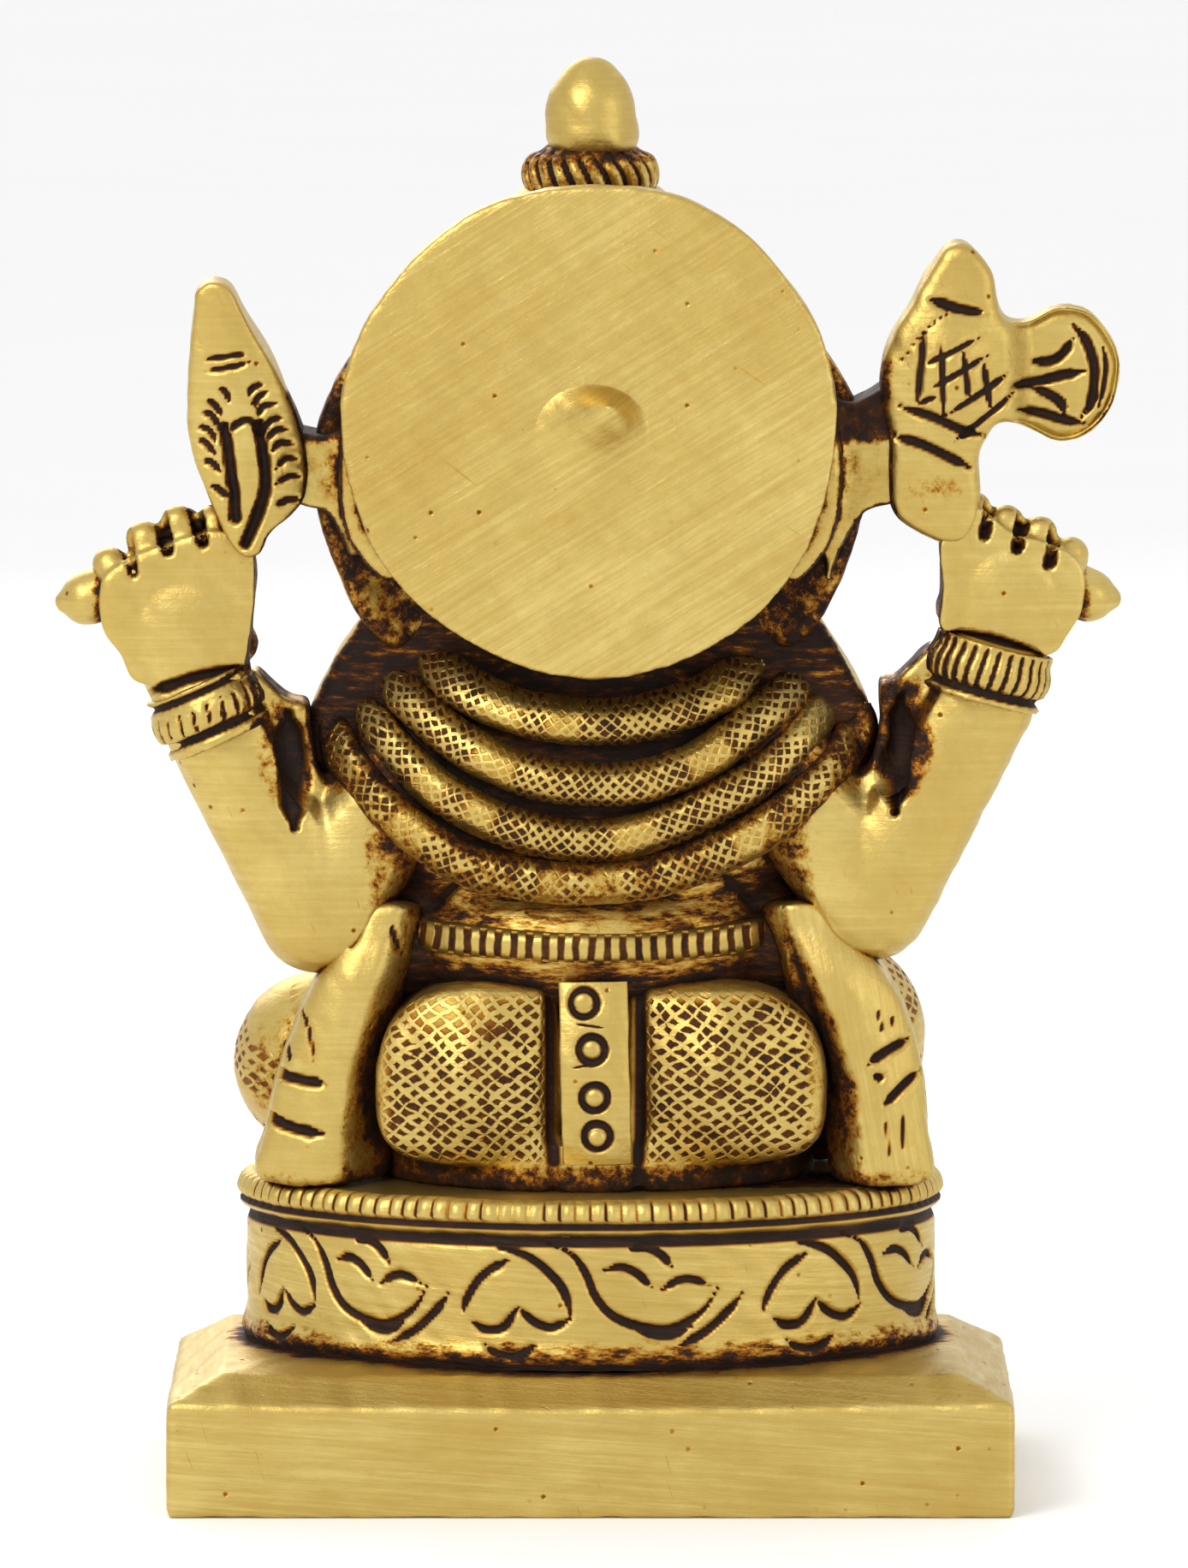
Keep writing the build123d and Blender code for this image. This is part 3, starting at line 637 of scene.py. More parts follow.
def make_seat():
    low, high = (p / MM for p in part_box("seat_slab"))
    rim = oval_wall("seat_rim_ribs", high.x, high.y, low.z, high.z, 720, 11)
    places = spots(rim)
    run, whole = girth(high.x, high.y, places)
    wall, side = wall_of(places, high.x, high.y)
    up = (places[:, 2] - low.z) / (high.z - low.z)
    by_eye = 0.35 * np.sin(0.31 * run) + 0.25 * np.sin(0.83 * run + 1)
    rib = np.abs(np.sin(pi * run / whole * round(whole / RIB_PITCH) + by_eye))
    rounding = 1.0 - np.sqrt(np.clip(1 - (2 * up - 1) ** 2, 0, 1))
    rib_inset = 0.32 * (1 - rib) ** 1.5 * ease(up, 0.2, 0.5)
    groove = 0.35 * np.exp(-(((up - 0.34) / 0.08) ** 2))
    move(rim, places - side * ((rounding + rib_inset + groove) * wall)[:, None])
    between = 0.85 * ease(rib, 0.42, 0.1) * ease(up, 0.36, 0.5) * ease(up, 1.02, 0.85)
    mark(rim, "cut", np.maximum(between, np.exp(-(((up - 0.3) / 0.1) ** 2))) * wall)
    put(rim, smooth_brass, "seat_slab", slot="brass_base")


# ---- halo ---------------------------------------------------------------------------------------
HALO_CENTRE_Z = 80.1
BOSS_FOOT, BOSS_TIP = np.array((0.1, 79.5)), np.array((-1.5, 82.2))
BOSS_SPREAD, BOSS_HEIGHT = np.array((5.0, 4.3)), 3.5


def make_halo():
    low, high = (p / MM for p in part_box("halo_disc"))
    middle = (low + high) / 2
    plate = disc((0, middle.y, middle.z), (high.x - low.x) / 2, high.y - low.y, (90, 0, 0), 128)
    plate = melt("halo_plate", [plate], 0.34, 5)
    places = spots(plate)
    away = np.hypot(places[:, 0], places[:, 2] - HALO_CENTRE_Z)
    angle = np.arctan2(places[:, 2] - HALO_CENTRE_Z, places[:, 0])
    uneven = (0.16 * np.sin(3 * angle + 1) + 0.1 * np.sin(7 * angle) - 0.2) * ease(away, 12, 18)
    move(plate, shifted(places, x=np.cos(angle) * uneven, z=np.sin(angle) * uneven))
    put(plate, brushed_brass, "halo_disc", slot="brass_halo")
    make_boss(high.y)


def make_boss(plate_y):
    """A soft cone in the middle of the plate, its tip off centre, worked out along lines from tip to rim."""
    foot = (BOSS_FOOT[0], plate_y, BOSS_FOOT[1])
    boss = melt("halo_boss", [ball(foot, (BOSS_SPREAD[0], 1.6, BOSS_SPREAD[1]))], 0.2, 1)
    places = spots(boss)
    apex = (BOSS_TIP - BOSS_FOOT) / BOSS_SPREAD
    way = (places[:, (0, 2)] - BOSS_FOOT) / BOSS_SPREAD - apex
    reach = (way**2).sum(1) + 1e-9
    slant = way @ apex
    rim = (-slant + np.sqrt(np.maximum(slant**2 + reach * (1 - apex @ apex), 0))) / reach
    share = np.clip(1 / rim, 0, 1)
    skirt = (1 + np.cos(pi * share)) / 2
    point = np.clip(1 - share / 0.5, 0, 1) ** 1.3
    rise = BOSS_HEIGHT * (0.62 * skirt + 0.38 * point)
    places[:, 1] = np.where(places[:, 1] > plate_y, plate_y - 0.12 + rise, places[:, 1])
    move(boss, places)
    finish_with(boss, "SMOOTH", factor=0.5, iterations=4)
    put(boss, brushed_brass, "halo_rivet", slot="brass_halo")


make_plinth()
make_drum()
make_seat()
make_halo()


# ---- body and its cloth, seen from behind --------------------------------------------------------
SHOULDER_WEB = [(6.0, 57.0), (6.0, 67.0), (11.0, 68.5), (15.2, 67.4), (17.4, 64.8), (19.4, 61.6),
                (21.0, 58.0), (21.0, 54.6), (18.2, 52.4), (12.0, 53.0)]


def make_torso():
    lumps = [ball((0, 1.3, 51), (18.0, 10.6, 13.6)), ball((0, -4.6, 41), (14.4, 12.0, 11.6)),
             ball((0, 3.0, 41), (14.2, 9.6, 8.0)), ball((0, 1.6, 61.5), (9.5, 8.0, 6.5)),
             ball((13.6, 1.5, 41), (4.4, 6.5, 6)), ball((-13.6, 1.5, 41), (4.4, 6.5, 6)),
             ball((13.0, 0.5, 55.0), (6.5, 7.5, 6.5)), ball((-13.0, 0.5, 55.0), (6.5, 7.5, 6.5))]
    for sign in SIDES.values():
        lumps.append(pad(mirrored(SHOULDER_WEB, sign), 6.4, 5.6, 1.2, 3))
    lumps += rod((14.5, 5.5, 52.0), (20.5, 7.6, 44.0), 3.6, 2.6)
    lumps += rod((-14.5, 5.5, 52.4), (-21.5, 7.6, 45.0), 3.6, 2.6)
    torso = melt("torso_and_belly", lumps, 0.36, 12)
    swell(torso, (0, -16.6, 38.4), (2.4, 4, 2.0), -1.5)
    swell(torso, (0, -16.0, 35.8), (7, 4, 2.0), 0.5)
    chase(torso, [[(-9.5, 33.6), (-4, 32.2), (0, 31.8), (4, 32.2), (9.5, 33.6)]], 0.8, 0.35, side=FRONT)
    chase(torso, [[(9.4, 46.3), (11.2, 44.4), (12.6, 43.3)], [(-9.8, 46.4), (-11.8, 44.2), (-13.2, 43.2)],
                  [(16.2, 47.2), (15.3, 45.0), (15.6, 42.4)],
                  [(-16.3, 47.4), (-15.8, 45.0), (-16.4, 42.6)]], 0.9, 0.5)
    places, out = spots(torso), outward(torso)
    behind = ease(out[:, 1], 0.0, 0.5)
    low_back = 0.5 + 0.25 * ease(np.abs(places[:, 0]), 8, 13) + 0.25 * ease(places[:, 2], 39.6, 38.2)
    tarnish_and_shade(torso, behind * np.where(places[:, 2] < 47, low_back, ease(places[:, 2], 46.5, 49)))
    put(torso, streaked_brass, "torso")


BACK_Y, BACK_Z, BACK_SPREAD = 1.3, 51.0, (21.8, 11.0, 15.6)


def back_depth(x, z, stand):
    """Y of the body's back behind a place, plus how far the piece stands off it."""
    rx, ry, rz = BACK_SPREAD
    shape = 1 - (x / rx) ** 2 - ((z - BACK_Z) / rz) ** 2
    return BACK_Y + ry * np.sqrt(np.clip(shape, 0.06, 1)) + stand


def lay_route(route, u, v, half, stand, crown, depth, round_ends=True):
    """Places, and millimetres along and across, of a rounded strip that follows a route in the XZ plane."""
    line = smooth_line(route, 12)
    run = np.concatenate([[0], np.cumsum(np.linalg.norm(np.diff(line, axis=0), axis=1))])
    at = u * run[-1]
    x, z = np.interp(at, run, line[:, 0]), np.interp(at, run, line[:, 1])
    heading = np.gradient(line, run, axis=0)
    hx, hz = np.interp(at, run, heading[:, 0]), np.interp(at, run, heading[:, 1])
    size = np.hypot(hx, hz)
    ends = np.sqrt(np.clip(np.minimum(u, 1 - u) * run[-1] / (1.5 * half), 0.04, 1)) if round_ends else 1.0
    across = v * half * ends
    x, z = x + hz / size * across, z - hx / size * across
    round_off = crown * (1 - np.abs(v) ** 3.2) * ends
    return np.column_stack([x, depth(x, z, stand) + round_off, z]), at - run[-1] / 2, across


STRANDS = {
    "collar_strand_1": ([(12.9, 62.6), (10.0, 60.7), (6.1, 59.0), (1.7, 58.2), (-2.7, 58.2), (-6.6, 59.0),
                         (-9.3, 60.1), (-12.9, 62.0)], 1.75),
    "collar_strand_2": ([(15.4, 61.8), (14.1, 59.9), (11.3, 57.6), (7.7, 55.4), (3.9, 54.0), (0, 53.5),
                         (-3.8, 53.7), (-7.9, 55.1), (-11.5, 57.4), (-14.5, 59.5), (-17.0, 61.6)], 1.65),
    "collar_strand_3": ([(17.4, 59.4), (15.4, 56.7), (12.7, 54.0), (10.0, 52.1), (6.3, 50.4), (2.2, 49.4),
                         (-1.6, 49.4), (-5.5, 50.4), (-9.3, 52.1), (-12.9, 54.0), (-15.9, 56.8),
                         (-18.8, 60.2)], 1.65),
    "collar_strand_4": ([(19.6, 58.6), (19.0, 56.0), (17.6, 54.0), (15.4, 51.6), (12.4, 49.3), (8.8, 47.3),
                         (4.4, 46.4), (0, 46.1), (-4.4, 46.6), (-7.9, 47.6), (-12.1, 49.6), (-15.7, 52.1),
                         (-18.4, 54.6), (-20.0, 56.8), (-20.6, 58.9)], 1.6),
}


def make_collar():
    for number, (node, (route, half)) in enumerate(STRANDS.items()):
        def place(u, v):
            return lay_route(route, u, v, half, 1.4 if number == 3 else 0.7, 1.75, back_depth)
        strand = band(node + "_net", 20, 260, place, 1.6)
        along, across = marked(strand, "along"), marked(strand, "across")
        plain = np.sin(along * (0.33 + 0.05 * number) + 1.7 * number) + 0.6 * np.sin(along * 1.13 + number)
        mark(strand, "net", ease(1.15 - np.abs(across) / half, 0.0, 0.2)
             * (0.25 + 0.75 * ease(plain, -0.9, -0.3)))
        # Painted shade: the upper edge of each strand, under the strand above, is darkened.
        tarnish_and_shade(strand, 0.42 * ease(across / half, 0.35, 0.95))
        put(strand, collar_brass, node)


def make_belt():
    route = [(14.6, 41.9), (9, 41.5), (3, 41.3), (-3, 41.2), (-9, 41.4), (-14.8, 41.9)]

    def depth(x, z, stand):
        return 1.2 + 10.6 * np.sqrt(np.clip(1 - (x / 15.2) ** 2, 0.01, 1)) + stand

    def place(u, v):
        return lay_route(route, u, v, 1.3, 0.3, 0.9, depth)
    belt = band("waist_belt_ticks", 12, 200, place, 1.6)
    mark(belt, "net", ease(np.abs(marked(belt, "across")), 1.15, 0.85))
    put(belt, ticked_brass, "waist_belt")


def make_hips():
    panel = [(2.4, 38.0), (7.0, 38.6), (11.6, 38.0), (14.6, 36.0), (15.9, 32.6), (16.0, 28.8), (15.0, 26.2),
             (12.4, 25.2), (7.0, 24.9), (2.4, 25.0)]
    lumps = [ball((0, 3.0, 31.2), (14.6, 8.4, 8.4)), disc((-0.4, 2.0, 24.8), 1, 3.8, vertices=64)]
    lumps[-1].scale = (16.4, 11.4, 1)
    for sign, shift in ((1, 0), (-1, -1.6)):
        cheek = [(sign * x + shift * (x > 4), z) for x, z in panel]
        lumps.append(pad(cheek, 12.6, 10, 2.2, 4))
    hips = melt("hips_netted_cloth", lumps, 0.3, 16)
    for x in (8.6, -9.6):
        swell(hips, (x, 12.6, 31.4), (8.4, 9, 8.4), 2.3, BACK)
    places, out = spots(hips), outward(hips)
    gap = np.abs(places[:, 0] + 0.4)
    from_side = np.abs(places[:, 0] + 0.6)
    behind = ease(out[:, 1], -0.1, 0.3)
    move(hips, places - out * (0.5 * behind * (np.exp(-((gap - 3.2) / 0.55) ** 2)))[:, None])
    mark(hips, "cut", behind * np.exp(-((gap - 3.2) / 0.5) ** 2) * ease(places[:, 2], 24.3, 25.4)
         * ease(places[:, 2], 39, 38))
    mark(hips, "along", np.arctan2(places[:, 0], places[:, 1] + 4.0) * 17.0)
    mark(hips, "across", places[:, 2])
    worn = 0.8 * np.exp(-((places[:, 0] - 10.5) / 3.6) ** 2 - ((places[:, 2] - 36.6) / 1.8) ** 2)
    mark(hips, "net", behind * ease(gap, 3.6, 4.1) * ease(places[:, 2], 25.0, 25.8)
         * ease(places[:, 2], 38.2, 36.8) * ease(from_side, 16.4, 15.2) * (1 - worn))
    tarnish_and_shade(hips, behind * (0.66 * ease(places[:, 2], 25.6, 24.6) + 0.4 * ease(places[:, 2], 37.6, 39.0)
                            + 0.3 * ease(from_side, 14.2, 16.4)))
    put(hips, netted_brass, "hips")


def make_pleat():
    """The strap that hangs down the middle of the hips, with its four domed studs."""
    route = [(-0.2, 38.9), (-0.3, 34), (-0.4, 29), (-0.5, 25.2)]

    def depth(x, z, stand):
        return 14.9 - 0.03 * (z - 31.5) ** 2 + stand

    def place(u, v):
        return lay_route(route, u, v, 2.6, 0, 0.35, depth, round_ends=False)
    pleat = band("back_pleat_strap", 30, 150, place, 1.8)
    studs = ((0.5, 37.4), (-0.1, 34.0), (-0.3, 30.4), (-0.5, 27.4))
    punch(pleat, studs, 1.3, 0.35, ring=0.5)
    chase(pleat, [[(1.2, 35.9), (-1.0, 35.6)], [(1.4, 32.6), (0.2, 32.9)]], 0.25, 0.08)
    put(pleat, smooth_brass, "back_pleat")
    domes = [ball((x, depth(x, z, 0.28), z), (0.72, 0.36, 0.72)) for x, z in studs]
    domes = settle("pleat_stud_domes", domes)
    bpy.ops.object.shade_smooth()
    put(domes, smooth_brass, "pleat_studs")


# Each tail of the sash, from its inner edge over a ridge to its outer edge: X at these heights.
TAIL_HEIGHTS = (23.3, 27.0, 31.0, 36.0, 40.5, 44.0)
TAILS = {
    "left": ((15.0, 15.0, 14.9, 14.2, 13.2, 12.7), (19.3, 19.2, 18.8, 17.4, 15.9, 14.6),
             (24.6, 24.3, 23.5, 21.7, 19.4, 17.4)),
    "right": ((-18.0, -17.3, -16.4, -15.0, -13.8, -12.9), (-20.9, -20.7, -20.3, -18.6, -16.6, -15.0),
              (-25.2, -25.2, -24.9, -23.6, -20.9, -18.4)),
}


def make_sash_tails():
    for side, (inner, ridge, outer) in TAILS.items():
        sign = SIDES[side]
        outline = list(zip(inner, TAIL_HEIGHTS)) + list(zip(outer, TAIL_HEIGHTS))[::-1]
        tail = melt("sash_fold_" + side, [pad(outline, 11.4, 8.5, 1.1, 4)], 0.26, 5)
        places = spots(tail)
        crest = np.interp(places[:, 2], TAIL_HEIGHTS, ridge)
        past = sign * (places[:, 0] - crest)
        slope = 3.9 * ease(-past, 0.1, 4.6) + 1.6 * ease(past, 0.9, 6.0)
        sink = slope + 1.3 * ease(places[:, 2], 38, 44)
        places[:, 1] = np.maximum(places[:, 1] - sink, -2)
        move(tail, places)
        # Painted shade: each tail's inner face, turned to the middle, is darkened, and the tail grows darker
        # towards its foot.
        stain_and_shade = ease(-past, 0.1, 1.2) * facing(tail, BACK, -0.4)
        tarnish_and_shade(tail, stain_and_shade * (0.42 + 0.3 * ease(-past, 2.2, 3.6)) + 0.3 * ease(places[:, 2], 25.0, 23.6))
        if side == "left":
            chase(tail, [[(24.4, 31.9), (22.2, 31.3), (19.6, 30.9)],
                         [(24.9, 28.6), (22.4, 27.6), (19.8, 27.1)]], 0.95, 0.7)
            chase(tail, [[(21.6, 36.6), (20.9, 34.6), (20.7, 32.6)],
                         [(22.8, 34.4), (22.4, 32.4)]], 0.36, 0.14)
            chase(tail, [[(14.9, 43.0), (13.9, 40.4)], [(16.6, 43.6), (17.9, 41.0)]], 0.5, 0.4)
        else:
            chase(tail, [[(-20.6, 32.4), (-22.2, 33.4), (-23.8, 34.2)],
                         [(-21.8, 29.2), (-23.2, 30.6), (-24.6, 31.8)],
                         [(-21.2, 31.6), (-21.8, 31.2)]], 0.85, 0.6)
            chase(tail, [[(-21.4, 36.4), (-21.8, 34.6)], [(-22.4, 36.0), (-22.7, 34.8)],
                         [(-22.0, 28.4), (-22.2, 25.2)], [(-23.2, 28.8), (-23.4, 25.4)]], 0.3, 0.16)
            chase(tail, [[(-14.6, 41.6), (-15.9, 37.0), (-17.8, 30.2)]], 0.9, 0.7)
        edge = spots(tail)[:, (1, 2)]
        folds = [[(y, 24.0), (y - 0.5, 31.0), (y - 0.2, 38.0)] for y in (8.0, 6.2, 4.4)]
        chase(tail, folds, 0.7, 0.45, flat=edge, where=facing(tail, (sign, 0, 0), 0.3))
        put(tail, smooth_brass if side == "left" else stained_brass, "sash_tail_" + side)


# ---- rear arms and what they hold ----------------------------------------------------------------
def shade_gap(piece, side, low, high):
    """Paints shade on the walls of the opening between arm and halo, where they face the middle."""
    sign = SIDES[side]
    places, out = spots(piece), outward(piece)
    inner = ease(-sign * out[:, 0] - 0.35 * out[:, 1], 0.2, 0.55)
    tarnish_and_shade(piece, inner * ease(places[:, 2], low - 3, low) * ease(places[:, 2], high + 1, high) * 0.95)


# Metal left between each rear arm and the shoulder, up to the foot of the opening beside the halo.
ARM_WEBS = {
    "left": [(18.4, 49.4), (20.6, 46.4), (25.6, 56.6), (25.4, 61.6), (23.8, 60.6), (22.2, 59.2),
             (21.0, 59.4), (20.8, 57.0), (20.2, 54.0), (18.8, 51.6)],
    "right": [(18.6, 50.4), (21.0, 47.4), (26.4, 58.0), (26.2, 63.4), (24.6, 62.8), (22.4, 60.6),
              (21.4, 60.8), (21.6, 57.6), (20.8, 54.6), (19.2, 52.2)],
}


def make_rear_arms():
    # Each arm's shoulder, elbow and wrist, the notch inside its elbow, and how deep and dark that is.
    arms = {
        "left": ([(13.5, 5.2, 54.5), (20.3, 7.4, 43.2), (27.9, 8.0, 57.3)], (22.0, 51.2), 1.2, 0.52),
        "right": ([(-13.6, 5.2, 55.0), (-20.9, 7.4, 44.2), (-29.2, 8.0, 59.2)], (-22.6, 52.4), 1.9, 0.9),
    }
    for side, (route, notch, deep, stain_and_shade) in arms.items():
        sign = SIDES[side]
        lumps = bent_bar(route, (5.0, 4.5, 3.9))
        _, elbow, wrist = route
        lumps += rod((elbow[0] + sign * 1.0, 6.6, elbow[2] + 2), (wrist[0] - sign * 1.2, 6.6, wrist[2] - 2),
                     4.0, 3.6)
        lumps.append(pad(mirrored(ARM_WEBS[side], sign), 8.4, 5.6, 1.0, 2))
        arm = melt("rear_arm_" + side, lumps, 0.3, 14)
        places = spots(arm)
        places[:, 1] = np.where(places[:, 1] > 10.2, 10.2 + (places[:, 1] - 10.2) * 0.5, places[:, 1])
        move(arm, places)
        chase(arm, [[(notch[0] + sign * 0.6, notch[1] + 7.2), (notch[0] - sign * 0.1, notch[1] + 3.0),
                     (notch[0] - sign * 0.1, notch[1] - 1.2)]], 2.6, deep)
        places = spots(arm)
        from_x = (places[:, 0] - notch[0] - sign * 0.3) / 2.9
        from_z = (places[:, 2] - notch[1] - 4.6) / 5.4
        tarnish_and_shade(arm, stain_and_shade * ease(np.hypot(from_x, from_z), 1.1, 0.6) * facing(arm, BACK, -0.3))
        tarnish_and_shade(arm, 0.62 * ease(sign * places[:, 0], 17.8, 15.4))
        tarnish_and_shade(arm, 0.8 * ease(sign * places[:, 0], 21.2, 19.4) * ease(places[:, 2], 51.5, 54))
        shade_gap(arm, side, 54.0, 64.0)
        put(arm, smooth_brass, "rear_arm_" + side)


def make_rear_cuffs():
    # Each cuff's middle, lean, radius and height, the heights of its two hoops, and its ticks: their pitch,
    # width, slope and lower and upper ends, and whether they taper.
    cuffs = {"left": ((28.4, 8.0, 58.5), 24, 4.15, 4.8, (-1.5, 1.6), (1.15, 0.3, 0.35, -0.9, 1.0, True)),
             "right": ((-29.6, 8.0, 61.6), -15, 4.5, 4.6, (-1.7, 2.3),
                       (0.98, 0.42, 0.15, -1.1, 1.7, False))}
    for side, (centre, lean, radius, tall, rings, (pitch, wide, slope, low, high, taper)) in cuffs.items():
        turned = (0, lean, 0)
        cuff = melt("rear_cuff_" + side, [disc(centre, radius, tall, turned),
                                          hoop(centre, turned, radius - 0.7, 1.05, (1, 1, 1.5))],
                    0.24, 4)
        places = spots(cuff) - np.array(centre)
        tilt = radians(lean)
        up = places[:, 0] * sin(tilt) + places[:, 2] * cos(tilt)
        out_x = places[:, 0] * cos(tilt) - places[:, 2] * sin(tilt)
        round_run = np.arctan2(out_x, places[:, 1]) * radius
        outer = ease(np.hypot(out_x, places[:, 1]), radius * 0.8, radius * 0.92)
        flat = np.column_stack([round_run, up])
        hoops = [[(-15, height), (0, height + 0.25), (15, height)] for height in rings]
        chase(cuff, hoops, 0.75, 0.5, flat=flat, where=outer, taper=False)
        ticks = [[(at, high), (at + slope, low)] for at in np.arange(-13, 13, pitch)]
        chase(cuff, ticks, wide, 0.3, flat=flat, where=outer, taper=taper)
        shade_gap(cuff, side, 55.0, 68.0)
        put(cuff, smooth_brass, "rear_cuff_" + side)


# Each rear hand: its palm's outline, its knuckles, its wrist, and the grip's inner and outer ends.
REAR_HANDS = {
    "left": ([(25.6, 61.5), (33.2, 60.6), (34.9, 63.0), (36.2, 65.0), (36.4, 68.2), (34.4, 70.0),
              (31.0, 71.4), (27.6, 72.2), (25.0, 71.0), (24.9, 66.4)],
             ((35.7, 69.4), (33.1, 71.4), (30.6, 72.6), (27.9, 72.6)),
             (28.9, 8.0, 60.4), (27.4, 8.0, 71.2), (37.4, 8.0, 66.9)),
    "right": ([(-25.8, 64.8), (-33.4, 62.8), (-35.8, 65.0), (-36.6, 67.0), (-36.4, 69.6), (-34.2, 71.2),
               (-31.0, 72.2), (-28.4, 74.0), (-26.0, 71.8), (-26.0, 68.0)],
              ((-35.7, 70.2), (-33.3, 71.8), (-30.9, 72.6), (-28.4, 73.6)),
              (-29.8, 8.0, 63.0), (-27.6, 8.0, 71.6), (-37.0, 8.0, 67.1)),
}


def make_rear_hands():
    for side, (palm, knuckles, wrist, inner, outer) in REAR_HANDS.items():
        sign = SIDES[side]
        lumps = [pad(palm, 11.2, 5.4, 1.5)]
        lumps += rod(wrist, (wrist[0] + sign * 1.4, 8.0, wrist[2] + 4.5), 3.9, 4.6)
        for x, z in knuckles:
            finger = [(x - sign * 1.0, 8.8, z - 3.2), (x, 8.6, z), (x - sign * 0.4, 5.4, z - 0.4),
                      (x - sign * 1.0, 4.4, z - 3.4)]
            lumps += bent_bar(finger, (1.5, 1.4, 1.3, 1.1))
        thumb = [(wrist[0] - sign * 2.6, 6.2, wrist[2] + 3.0), (wrist[0] - sign * 1.0, 3.8, wrist[2] + 6.2),
                 (wrist[0] + sign * 2.4, 3.4, wrist[2] + 7.4)]
        lumps += bent_bar(thumb, (1.6, 1.3, 1.1))
        hand = melt("rear_fist_" + side, lumps, 0.24, 7)
        places = spots(hand)
        places[:, 1] = np.where(places[:, 1] > 10.4, 10.4 + (places[:, 1] - 10.4) * 0.35, places[:, 1])
        move(hand, places)
        for (ax, az), (bx, bz) in zip(knuckles, knuckles[1:]):
            x, z = (ax + bx) / 2, (az + bz) / 2
            chase(hand, [[(x + sign * 0.1, z + 1.4), (x - sign * 0.5, z - 1.3)]], 0.9, 1.1, taper=False)
            chase(hand, [[(x - sign * 0.2, z + 1.0), (x - sign * 0.6, z - 3.2)]], 0.9, 0.7, side=FRONT)
        crease = [(wrist[0] - sign * 4.2, wrist[2] + 1.5), (wrist[0], wrist[2] + 1.0),
                  (wrist[0] + sign * 4.4, wrist[2] - 0.6)]
        chase(hand, [crease], 1.0, 0.7)
        shade_gap(hand, side, 60.0, 76.0)
        put(hand, smooth_brass, "rear_fist_" + side)
        tip = (outer[0] + sign * 1.45, 8.0, outer[2] - 0.2)
        knob = melt("rear_grip_" + side, rod(inner, outer, 1.6, 2.05) + rod(outer, tip, 2.05, 1.0), 0.25, 4)
        tarnish_and_shade(knob, 0.9 * np.exp(-((sign * spots(knob)[:, 0] - 36.3) / 0.7) ** 2))
        put(knob, smooth_brass, "rear_handle_" + side)


NOOSE_OUTLINE = [(28.2, 90.9), (26.7, 90.4), (25.7, 88.6), (24.9, 87.2), (24.0, 85.7), (23.2, 84.2),
                 (22.4, 82.4), (21.6, 80.6), (21.0, 78.4), (20.9, 76.4), (21.2, 74.4), (22.2, 73.2),
                 (23.7, 72.0), (24.4, 70.6), (25.6, 70.2), (26.8, 71.4), (27.8, 73.4), (28.6, 75.2),
                 (29.3, 77.1), (29.8, 79.5), (29.9, 81.1), (29.8, 83.9), (29.6, 86.3), (29.4, 88.6),
                 (29.2, 90.0)]


def make_noose():
    noose = melt("rope_noose_loop", [pad(NOOSE_OUTLINE, 10.8, 5.4, 2.1, 4)], 0.22, 9)
    places = spots(noose)
    dome = 1.1 * (1 - ((places[:, 0] - 25.5 - (places[:, 2] - 77) * 0.12) / 4.6) ** 2)
    move(noose, shifted(places, y=dome * facing(noose, BACK)))
    chase(noose, [[(28.7, 84.9), (27.1, 85.2), (25.2, 85.4)], [(28.5, 84.2), (26.8, 84.4), (25.1, 84.8)]],
          0.5, 0.4)
    dashes = [[(27.5, 83.0), (27.0, 82.6), (26.7, 81.9)], [(28.4, 82.0), (27.8, 81.6), (27.3, 80.8)],
              [(28.8, 81.2), (28.0, 80.8), (27.6, 80.0)], [(29.1, 80.1), (28.2, 79.7), (27.8, 78.9)],
              [(29.2, 79.0), (28.5, 78.8), (27.8, 77.9)], [(28.8, 77.5), (28.0, 77.3), (27.4, 76.6)],
              [(28.1, 75.6), (27.6, 75.4), (26.9, 74.8)],
              [(24.1, 83.2), (24.9, 82.9), (25.3, 82.3)], [(23.8, 82.6), (24.5, 82.2), (24.9, 81.4)],
              [(23.2, 81.7), (24.2, 81.5), (24.5, 80.7)], [(22.7, 80.7), (23.5, 80.5), (24.0, 79.9)],
              [(22.3, 79.8), (23.3, 79.7), (23.8, 79.0)], [(21.9, 78.7), (22.9, 78.8), (23.5, 78.1)],
              [(21.6, 77.5), (22.5, 77.6), (23.2, 76.9)], [(21.4, 76.2), (22.2, 76.3), (23.2, 75.8)],
              [(21.3, 74.5), (22.2, 74.6), (23.3, 74.1)]]
    chase(noose, dashes, 0.6, 0.42)
    chase(noose, [[(26.7, 79.6), (26.2, 80.2), (25.4, 80.5), (24.7, 80.2), (24.3, 79.7)]], 0.6, 0.45)
    chase(noose, [[(27.2, 79.9), (26.9, 78.6), (26.7, 77.1), (26.5, 75.5), (26.3, 73.2)],
                  [(24.4, 80.0), (24.2, 78.6), (24.0, 77.1), (24.0, 75.5), (24.5, 73.8), (25.6, 71.3)]],
          1.05, 0.9, taper=False)
    chase(noose, [[(27.2, 84), (27.4, 78), (26, 73)], [(24.4, 84), (23.8, 78), (25, 73)]], 0.6, 0.4,
          side=FRONT)
    shade_gap(noose, "left", 66.0, 82.0)
    places = spots(noose)
    # Painted shade: the loop's inner edge, towards the middle, is darkened below its top.
    tarnish_and_shade(noose, 0.75 * ease(places[:, 0], 21.6, 20.9) * ease(places[:, 2], 86, 84))
    put(noose, smooth_brass, "rope_noose")


